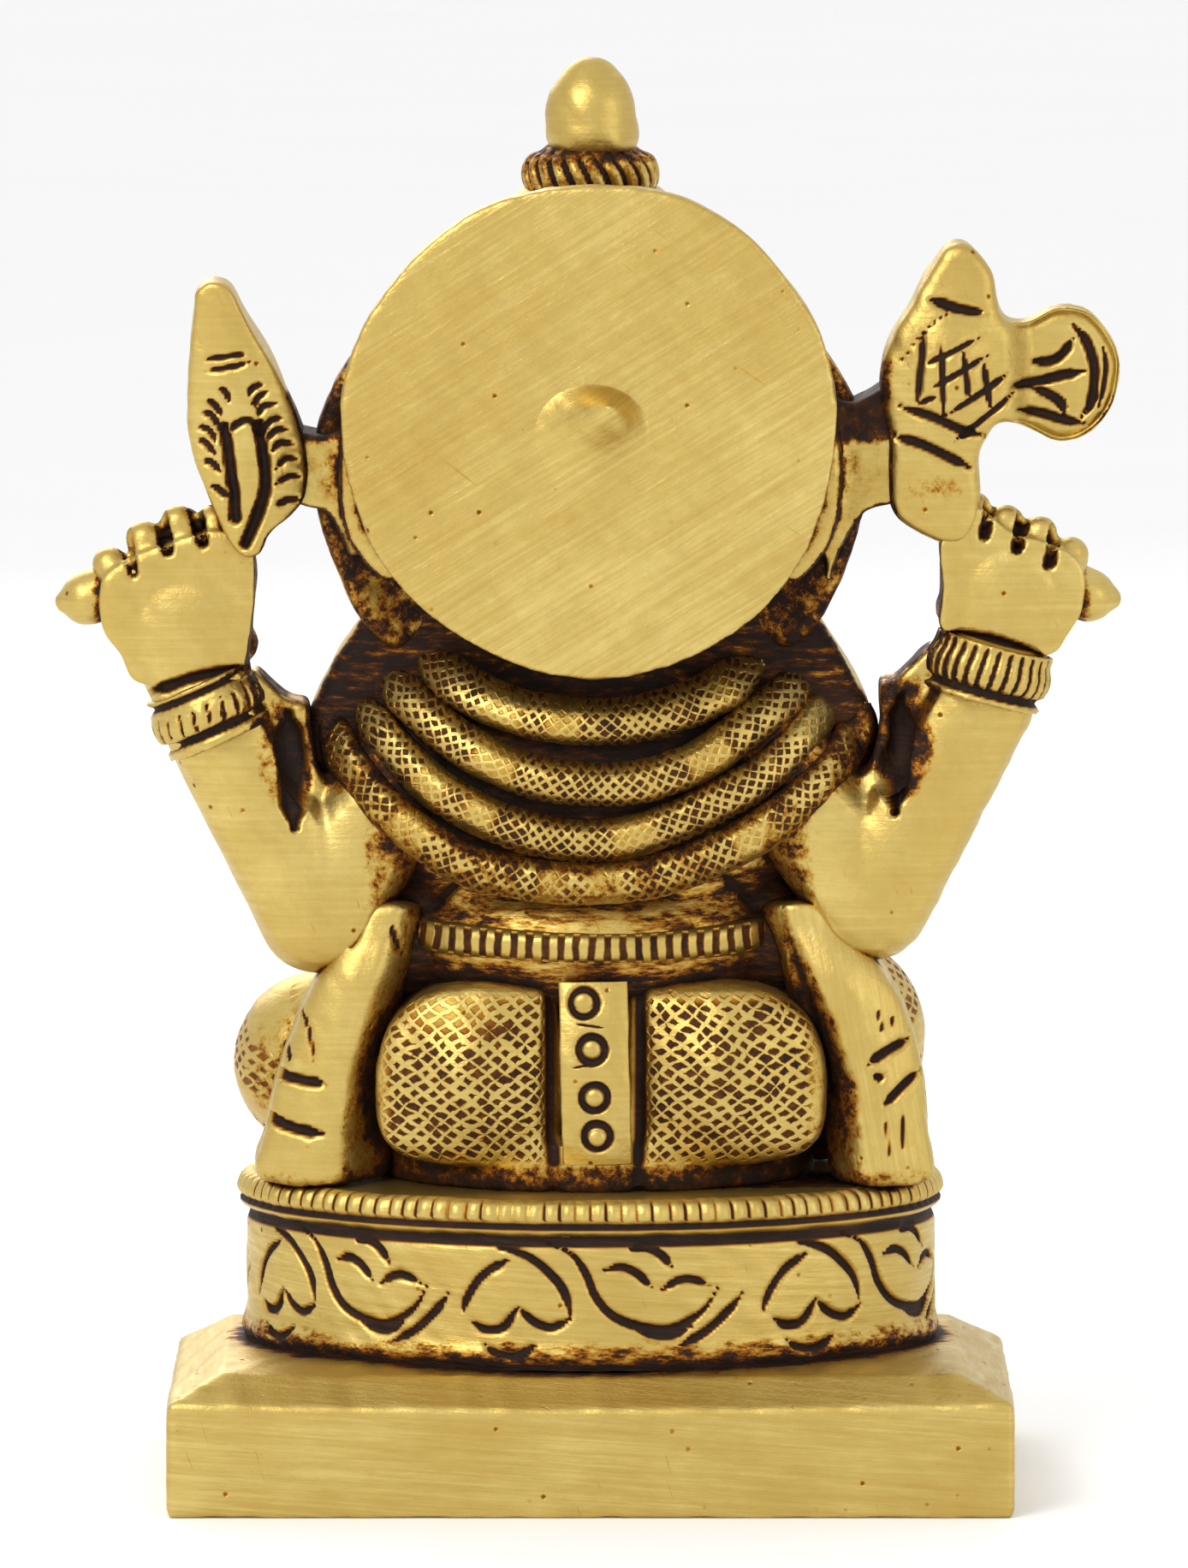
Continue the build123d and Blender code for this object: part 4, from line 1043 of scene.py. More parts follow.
AXE_OUTLINE = [(-27.3, 93.6), (-28.1, 93.3), (-29.2, 92.1), (-29.9, 90.9), (-30.3, 88.7), (-30.9, 87.8),
               (-31.9, 87.6), (-32.9, 87.9), (-34.2, 88.6), (-35.6, 88.7), (-37.1, 88.2), (-38.4, 86.7),
               (-39.1, 85.1), (-39.1, 83.4), (-38.6, 81.4), (-37.5, 79.9), (-36.1, 79.0), (-34.5, 78.8),
               (-33.0, 79.5), (-31.7, 80.1), (-30.6, 80.2), (-29.8, 79.7), (-29.1, 78.4), (-28.8, 77.1),
               (-28.8, 73.0), (-27.0, 71.0), (-23.6, 72.4), (-22.2, 74.0), (-22.0, 77.4), (-22.0, 79.2),
               (-21.4, 81.7), (-21.4, 83.6), (-21.7, 85.3), (-22.6, 87.4), (-23.6, 88.9), (-24.6, 90.9),
               (-25.8, 92.7), (-26.4, 93.4)]


def make_axe():
    axe = melt("axe_head_and_shaft", [pad(AXE_OUTLINE, 11.0, 5.6, 1.9, 3)], 0.22, 9)
    places = spots(axe)
    thin = 1.5 * ease(places[:, 0], -30.5, -33.0)
    bulge = 1.4 * np.exp(-(((places[:, 0] + 26.2) / 3.2) ** 2 + ((places[:, 2] - 84) / 5) ** 2))
    faced = outward(axe)[:, 1]
    move(axe, shifted(places, y=(bulge - thin) * np.sign(faced) * ease(np.abs(faced), 0.1, 0.6)))
    heavy = [[(-25.0, 89.5), (-27.2, 88.8), (-29.3, 88.4)],
             [(-22.7, 81.5), (-25.4, 80.6), (-27.5, 79.7), (-29.2, 79.2)],
             [(-22.2, 79.3), (-24.5, 78.6), (-26.8, 77.5), (-28.3, 76.8)],
             [(-35.6, 87.5), (-36.7, 86.2), (-37.3, 84.4), (-37.3, 82.7), (-37.0, 81.4), (-36.3, 80.4)],
             [(-32.5, 84.7), (-34.0, 84.7), (-35.0, 85.3), (-35.7, 86.4)],
             [(-32.7, 82.8), (-33.8, 82.3), (-34.8, 81.6), (-35.1, 80.6)],
             [(-31.2, 82.9), (-33.2, 83.2), (-34.7, 83.6), (-36.7, 84.0)],
             [(-31.7, 81.2), (-33.5, 80.8), (-34.9, 80.4), (-36.6, 80.0)]]
    chase(axe, heavy, 0.85, 0.6)
    net = [[(-24.5, 87.0), (-24.3, 84.3), (-24.0, 81.5)], [(-25.9, 86.3), (-26.0, 83.6), (-26.1, 80.8)],
           [(-27.5, 85.8), (-27.8, 84.0), (-28.0, 81.9)], [(-29.1, 84.7), (-29.4, 83.0), (-29.6, 81.4)],
           [(-24.7, 84.7), (-26.7, 85.6), (-28.7, 86.6)], [(-25.2, 82.9), (-27.2, 84.0), (-29.4, 85.3)],
           [(-26.2, 80.8), (-28.7, 82.3), (-31.1, 84.0)], [(-26.9, 78.9), (-29.2, 80.6), (-31.5, 82.5)],
           [(-24.3, 81.7), (-24.9, 82.0), (-25.4, 82.2)],
           [(-38.0, 85.7), (-38.2, 84.3), (-38.0, 82.7), (-37.7, 81.3)]]
    chase(axe, net, 0.56, 0.34)
    punch(axe, [(-26.3 + 0.42 * i, 88.4 - 0.27 * i - 0.02 * i * i) for i in range(9)], 0.2, 0.15)
    chase(axe, [[(-24, 90), (-27, 89), (-29, 89)], [(-22.6, 80), (-25.6, 79.2), (-29, 79.6)],
                [(-36.2, 87.4), (-37.3, 84), (-36.4, 80.4)], [(-32, 85), (-34.6, 85.6)],
                [(-32, 83), (-35, 83)]], 0.6, 0.4, side=FRONT)
    shade_gap(axe, "right", 66.0, 82.0)
    places = spots(axe)
    # Painted shade: the axe's inner edge, towards the middle, is darkened below its top.
    tarnish_and_shade(axe, 0.85 * ease(places[:, 0], -22.6, -21.8) * ease(places[:, 2], 87, 84))
    tarnish_and_shade(axe, 0.3 * np.exp(-(((places[:, 0] + 25.5) / 3) ** 2 + ((places[:, 2] - 75.5) / 2) ** 2)))
    put(axe, smooth_brass, "axe")


def make_struts():
    outlines = {"left": [(17.4, 80.6), (19.6, 79.2), (22.6, 79.4), (22.8, 75.0), (21.2, 73.8), (19.4, 73.4),
                         (17.4, 70.0)],
                "right": [(-17.4, 82.6), (-19.4, 81.6), (-22.8, 82.8), (-22.9, 74.8), (-20.4, 73.6),
                          (-18.6, 70.6), (-17.4, 68.6)]}
    for side, outline in outlines.items():
        inner = mirrored([(13.0, 84.0), (17.2, 81.6), (18.6, 77.6), (17.8, 71.6), (14.0, 69.0)],
                         SIDES[side])
        web = melt("casting_web_" + side, [pad(outline, 10.2, 6.6, 0.7, 3), pad(inner, 14.0, 9.0, 1.0, 3)],
                   0.3, 6)
        out, places = outward(web), spots(web)
        edge = 1 - ease(np.abs(out[:, 1]), 0.5, 0.9)
        # Painted shade: the side walls and upper part of each web, behind the halo, are darkened, and the
        # rest a little.
        tarnish_and_shade(web, np.maximum(0.95 * edge, 0.95 * ease(places[:, 2], 78.4, 79.2) + 0.1))
        put(web, aged_brass, "casting_strut_" + side)


make_torso()
make_collar()
make_belt()
make_hips()
make_pleat()
make_sash_tails()
make_rear_arms()
make_rear_cuffs()
make_rear_hands()
make_noose()
make_axe()
make_struts()


# ---- head, ears and crown ------------------------------------------------------------------------
def skin_depth(piece, side):
    """Finds Y of a piece's outermost skin, seen from the front or the back, at a place in XZ."""
    tree = BVHTree.FromObject(piece, bpy.context.evaluated_depsgraph_get())
    way = Vector(side)

    def depth(x, z):
        hit = tree.ray_cast(Vector((x * MM, 0.1 * way.y, z * MM)), -way)[0]
        return hit.y / MM if hit else 0.0
    return depth


def make_head():
    lumps = [ball((0, 1.6, 78.4), (12.4, 11.6, 12.4)), ball((0, -4.5, 79.5), (10.0, 8.0, 8.5)),
             ball((0, 2.0, 66.5), (8.5, 7.5, 6.0)), ball((0, 6.6, 79.5), (10.4, 7.9, 10.4))]
    for sign in SIDES.values():
        x = sign * 4.6
        lumps += [ball((x, -4.2, 84), 5.7), ball((x * 1.45, -6.4, 74.0), 4.6),
                  ball((x * 1.3, -8.6, 78.6), (2.9, 2.6, 2.2))]
        lumps += rod((sign * 3.6, -10.4, 71.4), (sign * 5.2, -12.2, 70.0), 2.1, 1.9)
    lumps += rod((0, -5.5, 80.5), (0, -10.6, 75.0), 5.2, 4.8)
    lumps.append(ball((0, -9.6, 68.4), (3.6, 3.4, 2.0)))
    head = melt("elephant_head", lumps, 0.34, 9)
    for sign in SIDES.values():
        swell(head, (sign * 6.0, -11.0, 78.6), (2.3, 4, 1.1), 0.55, FRONT)
        lids = (((3.7, 78.0), (4.9, 79.5), (6.6, 79.7), (8.3, 78.4)),
                ((3.7, 78.0), (5.6, 77.2), (7.2, 77.4), (8.3, 78.4)))
        chase(head, [mirrored(lid, sign) for lid in lids], 0.45, 0.4, side=FRONT)
        chase(head, [mirrored([(3.2, 80.6), (5.0, 82.0), (7.4, 82.0), (9.2, 80.4)], sign)], 0.5, 0.35,
              side=FRONT)
        chase(head, [mirrored([(4.0, 76.2), (6.2, 75.6), (8.2, 76.6)], sign)], 0.35, 0.22, side=FRONT)
        punch(head, [(sign * 6.0, 78.4)], 0.62, 0.35, side=FRONT)
    chase(head, [[(-2.4, 85.2), (-0.9, 83.4), (0, 83.1), (0.9, 83.4), (2.4, 85.2)],
                 [(-1.8, 86.6), (-0.6, 85.2), (0, 85.0), (0.6, 85.2), (1.8, 86.6)],
                 [(0, 82.6), (0, 80.6)]], 0.4, 0.3, side=FRONT)
    punch(head, [(0, 79.5)], 0.7, 0.3, side=FRONT)
    tarnish_and_shade(head, 0.55 * facing(head, BACK, -0.2))
    put(head, smooth_brass, "head")


def make_ears():
    edge = [(7.0, 87.4), (11.0, 88.4), (14.8, 88.0), (18.4, 84.0), (20.4, 79.4), (20.5, 74.4), (19.2, 69.6),
            (17.4, 65.6), (14.8, 62.9), (12.4, 64.0), (10.4, 66.8), (7.6, 69.0)]
    for side, sign in SIDES.items():
        ear = melt("fan_ear_" + side, [pad(mirrored(edge, sign), 6.2, 2.9, 0.9, 4),
                                       ball((sign * 11.0, 4.4, 76.0), (4.2, 2.6, 9.0))], 0.28, 5)
        places = spots(ear)
        round_rim = np.hypot((np.abs(places[:, 0]) - 12.6) / 8.0, (places[:, 2] - 76) / 12.6)
        places[:, 1] += 2.6 * ease(np.abs(places[:, 0]), 10.5, 21.5)
        dish = 1.1 * ease(round_rim, 0.95, 0.55) * ease(np.abs(places[:, 0]), 9.0, 12.0)
        curl = 0.9 * ease(round_rim, 0.7, 1.0)
        move(ear, shifted(places, y=(dish - curl) * facing(ear, FRONT, -0.2)))
        veins = [[(9.5, 80.5), (13.5, 82.6), (16.6, 82.0)], [(9.8, 77.5), (14.0, 78.0), (17.6, 77.4)],
                 [(9.8, 74.5), (13.6, 73.4), (17.0, 71.4)], [(10.4, 71.6), (13.0, 69.4), (15.0, 66.6)]]
        chase(ear, [mirrored(vein, sign) for vein in veins], 0.6, 0.32, side=FRONT)
        rim = [(8.6, 86.6), (14.2, 86.9), (17.4, 83.4), (19.1, 79.0), (19.2, 74.4), (18.0, 70.0),
               (16.2, 66.2), (14.4, 64.4)]
        chase(ear, [mirrored(rim, sign)], 0.5, 0.3, side=FRONT)
        # Painted shadow: the backs of the ears, behind the halo, are darkened.
        tarnish_and_shade(ear, 0.62 * ease(outward(ear)[:, 1], -0.6, 0.1))
        put(ear, aged_brass, "ear_" + side)


TRUNK_ROUTE = [(0, -10.6, 76.5), (0, -14.0, 69.5), (0.5, -16.0, 62.4), (2.2, -17.5, 56.6),
               (5.6, -18.7, 52.8), (8.9, -18.7, 51.6), (10.6, -18.2, 53.2), (9.9, -17.6, 55.0)]
TRUNK_RADII = (4.7, 4.0, 3.4, 2.8, 2.3, 1.9, 1.6, 1.3)


def make_trunk():
    route = smooth_line(TRUNK_ROUTE, 3)
    radii = np.interp(np.arange(len(route)), 3 * np.arange(len(TRUNK_RADII)), TRUNK_RADII)
    trunk = melt("curled_trunk", bent_bar([tuple(p) for p in route], radii), 0.28, 7)
    fine = smooth_line(TRUNK_ROUTE, 7)
    wrinkles = []
    for (ax, _, az), (bx, _, bz) in zip(fine[3:-4:2], fine[4:-3:2]):
        step = sqrt((bx - ax) ** 2 + (bz - az) ** 2)
        on_x, on_z = (bx - ax) / step, (bz - az) / step
        reach = 2.4 if az > 62 else 1.9 if az > 54 else 1.3
        wrinkles.append([(ax - on_z * reach, az + on_x * reach), (ax + on_x * 0.5, az + on_z * 0.5),
                         (ax + on_z * reach, az - on_x * reach)])
    chase(trunk, wrinkles, 0.42, 0.3, side=FRONT)
    put(trunk, smooth_brass, "trunk")


def make_tusks():
    """The tusk on the figure's left is whole, and the other is broken short."""
    tusks = {"left": ((4.9, -11.5, 70.4), (7.0, -17.0, 66.9), 0.75),
             "right": ((-4.9, -11.5, 70.4), (-6.3, -15.3, 67.8), 1.05)}
    for side, (root, tip, radius) in tusks.items():
        middle = [(a + b) / 2 for a, b in zip(root, tip)]
        middle[2] -= 0.5
        bar = bent_bar([root, tuple(middle), tip], (1.5, 1.3, radius))
        tusk = melt("tusk_" + side + "_side", bar, 0.2, 4)
        rings = [mirrored(ring, SIDES[side]) for ring in (((4.0, 70.6), (6.6, 69.6)),
                                                          ((4.2, 69.8), (6.8, 68.9)))]
        chase(tusk, rings, 0.3, 0.2, side=FRONT)
        put(tusk, smooth_brass, "tusk_" + side)


def round_run(piece, centre, radius):
    """Millimetres round an upright axis, with height, for chasing a ring's whole wall."""
    places = spots(piece)
    return np.column_stack([np.arctan2(places[:, 0] - centre[0], places[:, 1] - centre[1]) * radius,
                            places[:, 2]])


LEVEL = (0, 0, 0)


def make_crown_band():
    lumps = [disc((0, 0.8, 87), 10.1, 2.6), hoop((0, 0.8, 88.2), LEVEL, 10.0, 0.62),
             hoop((0, 0.8, 85.8), LEVEL, 10.0, 0.62)]
    beads = 34
    for i in range(beads):
        turn = tau * i / beads
        lumps.append(ball((10.25 * sin(turn), 0.8 + 10.25 * cos(turn), 87), (0.75, 0.75, 0.8)))
    put(melt("crown_band_beads", lumps, 0.26, 3), aged_brass, "crown_band")


def make_crown_tier():
    profile = ((9.1, 87.5), (9.3, 88.8), (8.5, 90.0), (8.6, 91.2), (7.5, 92.5), (7.6, 93.7), (6.5, 95.0),
               (6.2, 96.2), (5.2, 97.2))
    lumps = []
    for (low_r, low_z), (high_r, high_z) in zip(profile, profile[1:]):
        bpy.ops.mesh.primitive_cone_add(vertices=72, radius1=low_r * MM, radius2=high_r * MM,
                                        depth=(high_z - low_z + 0.02) * MM,
                                        location=Vector((0, 2.4, (low_z + high_z) / 2)) * MM)
        lumps.append(bpy.context.object)
    for i in range(9):
        turn = radians(-64 + 16 * i)
        lumps.append(ball((8.2 * sin(turn), 2.4 - 8.2 * cos(turn), 90.6), (1.5, 1.0, 2.2),
                          (0, 0, degrees(turn))))
    lumps += [ball((0, -7.2, 91.0), (2.4, 1.4, 3.4)), ball((0, -6.4, 95.0), (1.2, 1.0, 1.6))]
    tier = melt("crown_tier_petals", lumps, 0.28, 4)
    flat = round_run(tier, (0, 2.4), 8)
    upright = ease(np.abs(outward(tier)[:, 2]), 0.95, 0.8)
    chase(tier, [[(s, 92.9), (s + 0.25, 94.6)] for s in np.arange(-24, 24, 1.5)], 0.5, 0.3, flat=flat,
          where=upright)
    punch(tier, [(0, 91.2)], 1.5, 0.4, side=FRONT, ring=0.45)
    chase(tier, [[(-1.0, 89.6), (0, 88.6), (1.0, 89.6)], [(-0.9, 93.2), (0, 94.0), (0.9, 93.2)]], 0.35,
          0.25, side=FRONT)
    put(tier, aged_brass, "crown_tier")


def make_lotus():
    lumps = [disc((0, 3.2, 98.2), 4.7, 2.6), hoop((0, 3.2, 98.2), LEVEL, 4.1, 1.1, (1, 1, 1.5)),
             ball((0, 3.4, 99.6), (3.9, 3.9, 1.5))]
    lotus = melt("crown_lotus_ribs", lumps, 0.24, 6)
    flat = round_run(lotus, (0, 3.2), 4.9)
    places = spots(lotus)
    outer = ease(np.hypot(places[:, 0], places[:, 1] - 3.2), 3.2, 4.2)
    ribs = [[(s, 96.9), (s + 0.5, 98.4), (s + 1.3, 100.0)] for s in np.arange(-15.6, 15.4, 1.4)]
    chase(lotus, ribs, 0.62, 0.5, flat=flat, where=outer)
    tarnish_and_shade(lotus, 0.45 * ease(places[:, 2], 98.8, 100.2) + 0.25)
    put(lotus, aged_brass, "crown_lotus")


def make_finial():
    finial = melt("crown_finial_bud", [ball((0, 4, 102.5), (3.45, 3.4, 4.2)),
                                       ball((-0.15, 4, 101.4), (3.6, 3.5, 3.0)),
                                       ball((0, 4, 104.6), (2.4, 2.4, 2.4))], 0.24, 10)
    swell(finial, (-2.4, 7.4, 100.4), (1.6, 2, 1.3), 0.25)
    tarnish_and_shade(finial, 0.45 * ease(spots(finial)[:, 2], 101.0, 99.4))
    put(finial, smooth_brass, "crown_finial")


# ---- front ornaments ----------------------------------------------------------------------------
def make_necklaces():
    depth = skin_depth(bpy.data.objects["torso_and_belly"], FRONT)
    for node, half_wide, drop, radius, count in (("necklace_upper", 9.5, 6.0, 0.72, 19),
                                                 ("necklace_lower", 12.5, 10.6, 0.9, 23)):
        line = []
        for i in range(count):
            turn = pi * i / (count - 1)
            x, z = half_wide * cos(turn), 61.5 - drop * sin(turn)
            line.append((x, depth(x, z) + 0.2, z))
        string = bent_bar(line, [radius * 0.62] * count)
        for a, b in zip(line, line[1:]):
            string.append(ball(a, radius))
            string.append(ball([(p + q) / 2 for p, q in zip(a, b)], radius * 0.8))
        string.append(ball(line[-1], radius))
        put(melt(node + "_beads", string, 0.26, 2), aged_brass, node)
    y = depth(0, 49.6)
    drop = melt("pendant_drop", [ball((0, y, 49.9), (1.9, 1.1, 1.9)), ball((0, y, 47.9), (1.1, 0.9, 1.5)),
                                 ball((0, y, 51.8), (0.8, 0.8, 0.8))], 0.2, 4)
    punch(drop, [(0, 49.9)], 1.25, 0.3, side=FRONT, ring=0.5)
    put(drop, smooth_brass, "pendant")


def ring_on_limb(name, side, start, end, share, radius, tall, bead):
    """A bracelet: hoops with a row of beads between them, square to the limb."""
    a, b = Vector(start), Vector(end)
    way = (b - a).normalized()
    centre = a.lerp(b, share)
    turned = way.to_track_quat("Z", "Y")
    angles = [degrees(t) for t in turned.to_euler()]
    lumps = [disc(centre, radius - 0.35, tall, angles)]
    for rim in (-0.5, 0.5):
        lumps.append(hoop(centre + way * rim * tall, angles, radius - 0.35, 0.42))
    beads = int(tau * radius / (bead * 2.05))
    for i in range(beads):
        turn = tau * i / beads
        place = Vector((cos(turn) * (radius - 0.3), sin(turn) * (radius - 0.3), 0))
        lumps.append(ball(centre + turned @ place, bead))
    put(melt(name + "beads_" + side, lumps, 0.24, 2), aged_brass, name + side)


FRONT_ARMS = {"left": ((15.2, -3.6, 56.0), (18.6, -8.6, 45.8), (13.4, -15.4, 41.4)),
              "right": ((-15.2, -3.6, 56.0), (-19.0, -8.2, 46.0), (-16.4, -14.4, 51.0))}


def make_front_arms():
    for side, (shoulder, elbow, wrist) in FRONT_ARMS.items():
        middle = tuple(a * 0.5 + b * 0.5 for a, b in zip(shoulder, elbow))
        arm = melt("front_arm_flesh_" + side, bent_bar([shoulder, middle, elbow, wrist],
                                                       (4.4, 4.1, 3.7, 2.6)), 0.3, 14)
        sign = SIDES[side]
        chase(arm, [[(elbow[0] - sign * 3.0, elbow[2] + 1.4), (elbow[0] - sign * 0.6, elbow[2] + 0.8)]],
              0.5, 0.3, side=FRONT)
        put(arm, smooth_brass, "front_arm_" + side)
        ring_on_limb("armlet_", side, shoulder, elbow, 0.55, 4.6, 1.5, 0.62)
        ring_on_limb("front_bracelet_", side, elbow, wrist, 0.88, 3.4, 1.3, 0.52)


def make_blessing_hand():
    lumps = [ball((-14.6, -16.4, 55.0), (3.4, 1.8, 4.2))]
    lumps += rod((-16.0, -14.9, 52.0), (-14.8, -16.2, 54.5), 2.4, 2.7)
    for i, top in enumerate((61.2, 62.4, 62.2, 60.9)):
        x = -17.1 + 1.65 * i
        lumps += bent_bar([(x + 0.3, -16.6, 56.4), (x, -16.8, 59.4), (x - 0.1, -17.2, top)],
                          (1.0, 0.9, 0.72))
    lumps += bent_bar([(-12.4, -16.4, 54.0), (-11.0, -17.0, 56.6), (-10.7, -17.3, 58.4)], (1.3, 1.0, 0.8))
    hand = melt("blessing_hand_palm", lumps, 0.22, 4)
    chase(hand, [[(-17.2, 56.6), (-15.4, 55.8), (-12.8, 56.4)],
                 [(-17.0, 54.6), (-15.0, 54.2), (-13.2, 52.6)]], 0.35, 0.25, side=FRONT)
    punch(hand, [(-14.7, 55.2)], 1.0, 0.3, side=FRONT, ring=0.45)
    put(hand, smooth_brass, "blessing_hand")


def make_bowl_hand():
    lumps = [ball((12.0, -16.4, 41.2), (4.0, 3.3, 2.1))]
    lumps += rod((13.3, -15.4, 41.4), (12.2, -16.2, 41.2), 2.4, 2.2)
    for i in range(4):
        root = (9.6 + 1.55 * i, -18.0, 41.4)
        lumps += bent_bar([root, (root[0] - 0.2, -20.0, 42.4), (root[0] - 0.3, -20.6, 43.8)],
                          (1.0, 0.88, 0.7))
    lumps += bent_bar([(14.6, -16.8, 42.0), (15.9, -17.6, 43.2), (15.8, -18.4, 44.8)], (1.2, 1.0, 0.8))
    put(melt("bowl_hand_palm", lumps, 0.22, 4), smooth_brass, "bowl_hand")


def make_bowl_of_sweets():
    wall = melt("sweet_bowl_shell", [ball((11.6, -16.8, 46.2), (4.6, 4.6, 3.4))], 0.24, 0)
    places = spots(wall)
    places[:, 2] = np.minimum(places[:, 2], 46.0)
    inner = np.clip(1 - np.hypot(places[:, 0] - 11.6, places[:, 1] + 16.8) / 3.9, 0, 1)
    places[:, 2] -= 1.4 * ease(inner, 0.0, 0.3) * (places[:, 2] > 45.9)
    move(wall, places)
    finish_with(wall, "SMOOTH", factor=0.5, iterations=3)
    ring = round_run(wall, (11.6, -16.8), 4.4)
    rim = ease(np.abs(outward(wall)[:, 2]), 0.9, 0.6)
    chase(wall, [[(s, 43.2), (s + 0.3, 45.2)] for s in np.arange(-14, 14, 1.1)], 0.42, 0.25, flat=ring,
          where=rim)
    put(wall, aged_brass, "sweet_bowl")
    sweets = []
    for x, y, z, radius in ((9.7, -16.4, 46.6, 1.75), (13.4, -16.2, 46.5, 1.75), (11.6, -18.1, 46.7, 1.65),
                            (11.5, -16.6, 48.0, 1.5)):
        sweets.append(ball((x, y, z), (radius, radius, radius * 0.92)))
    sweets = melt("round_sweets", sweets, 0.2, 2)
    places = spots(sweets)
    bumps = 0.1 * np.sin(places @ np.array((7.1, 5.3, 6.7)))
    move(sweets, places + outward(sweets) * bumps[:, None])
    put(sweets, smooth_brass, "sweets")


# ---- crossed legs -------------------------------------------------------------------------------
KNEES = {"left": ((8, 0, 30.4), (20.0, -4.2, 30.6), 7.0),
         "right": ((-8, 0, 31.6), (-17.2, -4.2, 32.4), 8.2)}


def make_thighs():
    for side, (hip, knee, radius) in KNEES.items():
        sign = SIDES[side]
        lumps = rod(hip, knee, 6.3, radius)
        lumps += [ball((knee[0] - sign * 3.0, knee[1] - 2.5, knee[2] - 1.6), (6.2, 5.0, 5.0)),
                  ball((knee[0], knee[1], 27.4), (5.0, 5.0, 4.4))]
        thigh = melt("thigh_cloth_" + side, lumps, 0.34, 14)
        places = spots(thigh)
        fold = [[(sign * (6.0 + 2.3 * i), 37.4 - 0.2 * i), (sign * (7.6 + 2.2 * i), 33.0),
                 (sign * (7.2 + 2.1 * i), 28.8)] for i in range(5)]
        chase(thigh, fold, 0.55, 0.35, side=FRONT)
        mark(thigh, "along", np.arctan2(sign * places[:, 0] - 10, places[:, 1] + 5) * 9)
        mark(thigh, "across", places[:, 2])
        middle = 0.5 + 0.5 * np.sin(places[:, 2] * 0.9 + places[:, 1] * 0.5 + knee[2])
        mark(thigh, "net", 0.75 * ease(sign * outward(thigh)[:, 0], 0.2, 0.5) * ease(middle, 0.3, 0.6))
        tarnish_and_shade(thigh, 0.35 * ease(outward(thigh)[:, 1], 0.3, 0.8) + 0.5 * ease(places[:, 2], 26.5, 24.5))
        put(thigh, netted_brass, "thigh_" + side)


def make_shins():
    shins = {"left": ((18.8, -9.4, 27.4), (1.0, -13.2, 26.6), 3.7, 2.8),
             "right": ((-18.4, -9.6, 28.4), (-2.6, -12.8, 31.0), 3.7, 2.7)}
    for side, (knee, ankle, thick, thin) in shins.items():
        middle = [(a + b) / 2 for a, b in zip(knee, ankle)]
        shin = melt("shin_cloth_" + side, bent_bar([knee, (middle[0], middle[1] - 0.6, middle[2]), ankle],
                                                   (thick, 3.5, thin)), 0.28, 12)

        def cuts(shares, over, under, above, below):
            """Lines across the shin at these shares of its length, bowed towards the ankle."""
            lines = []
            for share in shares:
                x = knee[0] + (ankle[0] - knee[0]) * share
                z = knee[2] + (ankle[2] - knee[2]) * share
                lines.append([(x + SIDES[side] * over, z + above), (x, z),
                              (x + SIDES[side] * under, z - below)])
            return lines
        chase(shin, cuts(np.linspace(0.12, 0.72, 7), 0.9, 0.6, 3.0, 2.8), 0.5, 0.32, side=FRONT)
        chase(shin, cuts((0.86, 0.93), 0.3, 0.3, 3, 3), 0.6, 0.4, side=FRONT)
        put(shin, smooth_brass, "shin_" + side)


def make_feet():
    feet = {"left": ((-1.0, -13.7, 25.9), (-8.4, -14.6, 25.5), -1),
            "right": ((0.6, -13.8, 31.3), (7.6, -14.8, 31.4), 1)}
    for side, (heel, toes, way) in feet.items():
        middle = [(a + b) / 2 for a, b in zip(heel, toes)]
        lumps = bent_bar([heel, (middle[0], middle[1], middle[2] + 0.2), toes], (2.4, 2.2, 1.8))
        for i in range(5):
            z = toes[2] + 1.5 - 0.78 * i
            lumps += rod((toes[0] - way * 0.6, toes[1] - 0.5, z),
                         (toes[0] + way * (1.7 - 0.16 * i), toes[1] - 0.9, z - 0.1), 0.62, 0.5)
        foot = melt("foot_toes_" + side, lumps, 0.2, 4)
        punch(foot, [(middle[0], middle[2])], 1.1, 0.3, side=FRONT, ring=0.45)
        put(foot, smooth_brass, "foot_" + side)


make_head()
make_ears()
make_trunk()
make_tusks()
make_crown_band()
make_crown_tier()
make_lotus()
make_finial()
make_necklaces()
make_front_arms()
make_blessing_hand()
make_bowl_hand()
make_bowl_of_sweets()
make_thighs()
make_shins()
make_feet()
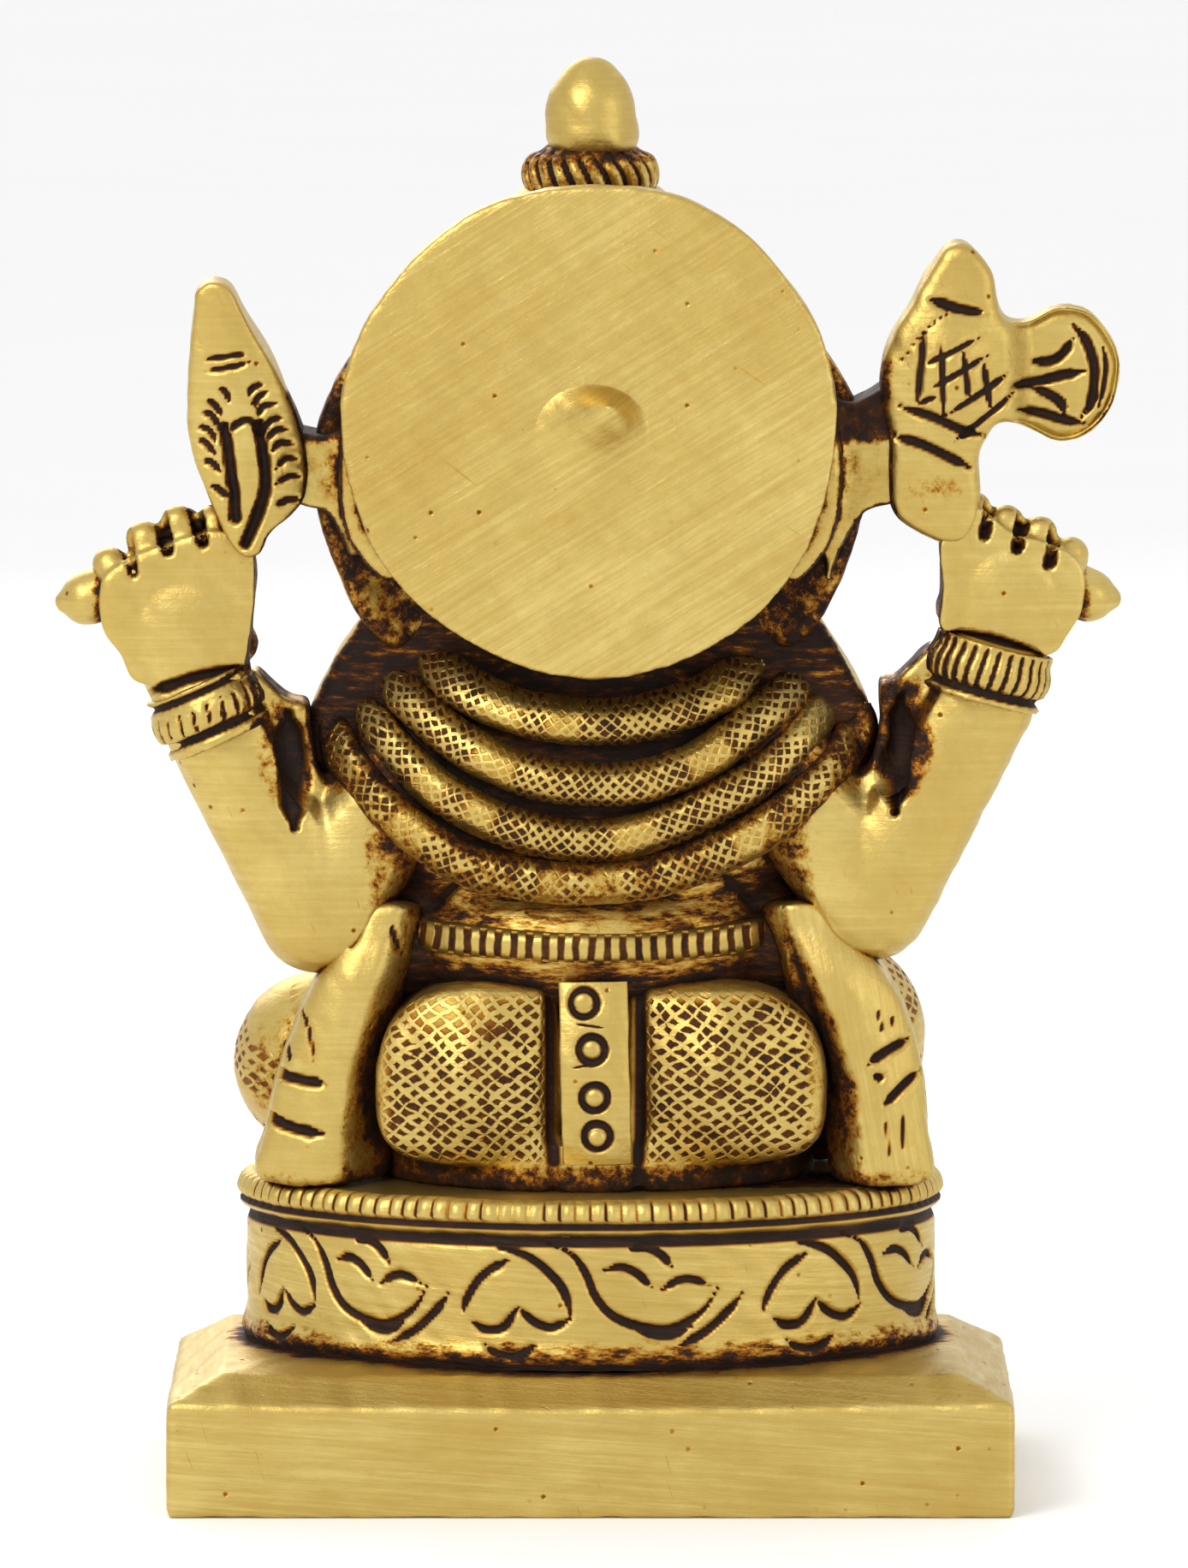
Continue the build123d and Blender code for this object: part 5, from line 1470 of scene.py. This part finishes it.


# ---- hollows and painted shade ------------------------------------------------------------------
def find_hollows(cell=0.5):
    """Marks how shut in each place of the skin is, from how full of metal the space round it is, and adds
    the tarnish and painted shade marked before.
    """
    low = np.array(cad_box[0]) / MM - 6
    size = (np.ceil((np.array(cad_box[1]) / MM + 6 - low) / cell)).astype(int)
    metal = np.zeros(size, np.float32)
    depsgraph = bpy.context.evaluated_depsgraph_get()
    for piece in statue:
        tree = BVHTree.FromObject(piece, depsgraph)
        places = spots(piece)
        a = np.floor((places.min(0) - low) / cell).astype(int)
        b = np.ceil((places.max(0) - low) / cell).astype(int)
        for i in range(a[0], b[0]):
            for k in range(a[2], b[2]):
                x, z = low[0] + (i + 0.5) * cell, low[2] + (k + 0.5) * cell
                y, hits = low[1] - 1, []
                while True:
                    hit = tree.ray_cast(Vector((x, y, z)) * MM, Vector(BACK))[0]
                    if hit is None:
                        break
                    y = hit.y / MM + 0.02
                    hits.append(int(round((hit.y / MM - low[1]) / cell)))
                for start, stop in zip(hits[::2], hits[1::2]):
                    metal[i, start:stop, k] = 1
    fills = []
    for reach in (1, 3):
        fill = metal
        for _ in range(2):
            for axis in range(3):
                fill = sum(np.roll(fill, step, axis) for step in range(-reach, reach + 1)) / (2 * reach + 1)
        fills.append(fill)
    for piece in statue:
        at = ((spots(piece) + outward(piece) * 0.45 - low) / cell - 0.5)
        whole = np.clip(np.floor(at).astype(int), 0, size - 2)
        part = np.clip(at - whole, 0, 1)
        near, far = 0, 0
        for corner in product((0, 1), repeat=3):
            weight = np.prod(np.where(corner, part, 1 - part), axis=1)
            at_corner = tuple((whole + corner).T)
            near = near + weight * fills[0][at_corner]
            far = far + weight * fills[1][at_corner]
        mark(piece, "patina_and_painted_shade", 0.6 * ease(near, 0.36, 0.8) + 0.75 * ease(far, 0.42, 0.8)
             + marked(piece, "tarnish_and_shade_kept"))


find_hollows()


# ---- studio -------------------------------------------------------------------------------------
def soft_light(name, place, aim, size, power):
    lamp = bpy.data.lights.new(name, "AREA")
    lamp.shape = "RECTANGLE"
    lamp.size, lamp.size_y = size[0] * MM, size[1] * MM
    lamp.energy = power
    holder = bpy.data.objects.new(name, lamp)
    bpy.context.scene.collection.objects.link(holder)
    holder.location = Vector(place) * MM
    holder.rotation_euler = (Vector(aim) - Vector(place)).to_track_quat("-Z", "Y").to_euler()


def set_studio():
    bpy.ops.mesh.primitive_plane_add(size=6, location=(0, 0, 0))
    floor = bpy.context.object
    floor.name = "floor"
    r = Recipe("pale_floor")
    shade = r.colours(r.noise(r.add("TexCoord").outputs["Object"], 60),
                      ((0, (0.93, 0.93, 0.93, 1)), (1, (0.96, 0.96, 0.96, 1))))
    r.add("OutputMaterial", {"Surface": r.add("BsdfPrincipled",
                                              {"Base Color": shade, "Roughness": 0.8}).outputs[0]})
    floor.data.materials.append(r.material)
    bpy.context.scene.view_settings.view_transform = "Standard"
    world = bpy.data.worlds.new("studio")
    bpy.context.scene.world = world
    world.use_nodes = True
    sky = world.node_tree.nodes["Background"]
    sky.inputs["Color"].default_value = (1, 1, 1, 1)
    sky.inputs["Strength"].default_value = 0.98
    soft_light("key", (260, 420, 420), (0, 0, 55), (240, 240), 1.5)
    soft_light("fill", (-420, 360, 200), (0, 0, 55), (300, 300), 0.3)
    soft_light("front", (160, -480, 340), (0, 0, 55), (300, 300), 0.8)


def set_camera():
    elevation, distance, aim = radians(6.5), 1000, Vector((-0.26, 0, 52.1))
    camera = bpy.data.cameras.new("camera")
    camera.lens = 306
    camera.clip_start, camera.clip_end = 0.05, 10
    holder = bpy.data.objects.new("camera", camera)
    bpy.context.scene.collection.objects.link(holder)
    away = Vector((0, cos(elevation), sin(elevation)))
    holder.location = (aim + away * distance) * MM
    holder.rotation_euler = (-away).to_track_quat("-Z", "Y").to_euler()
    bpy.context.scene.camera = holder


set_studio()
set_camera()
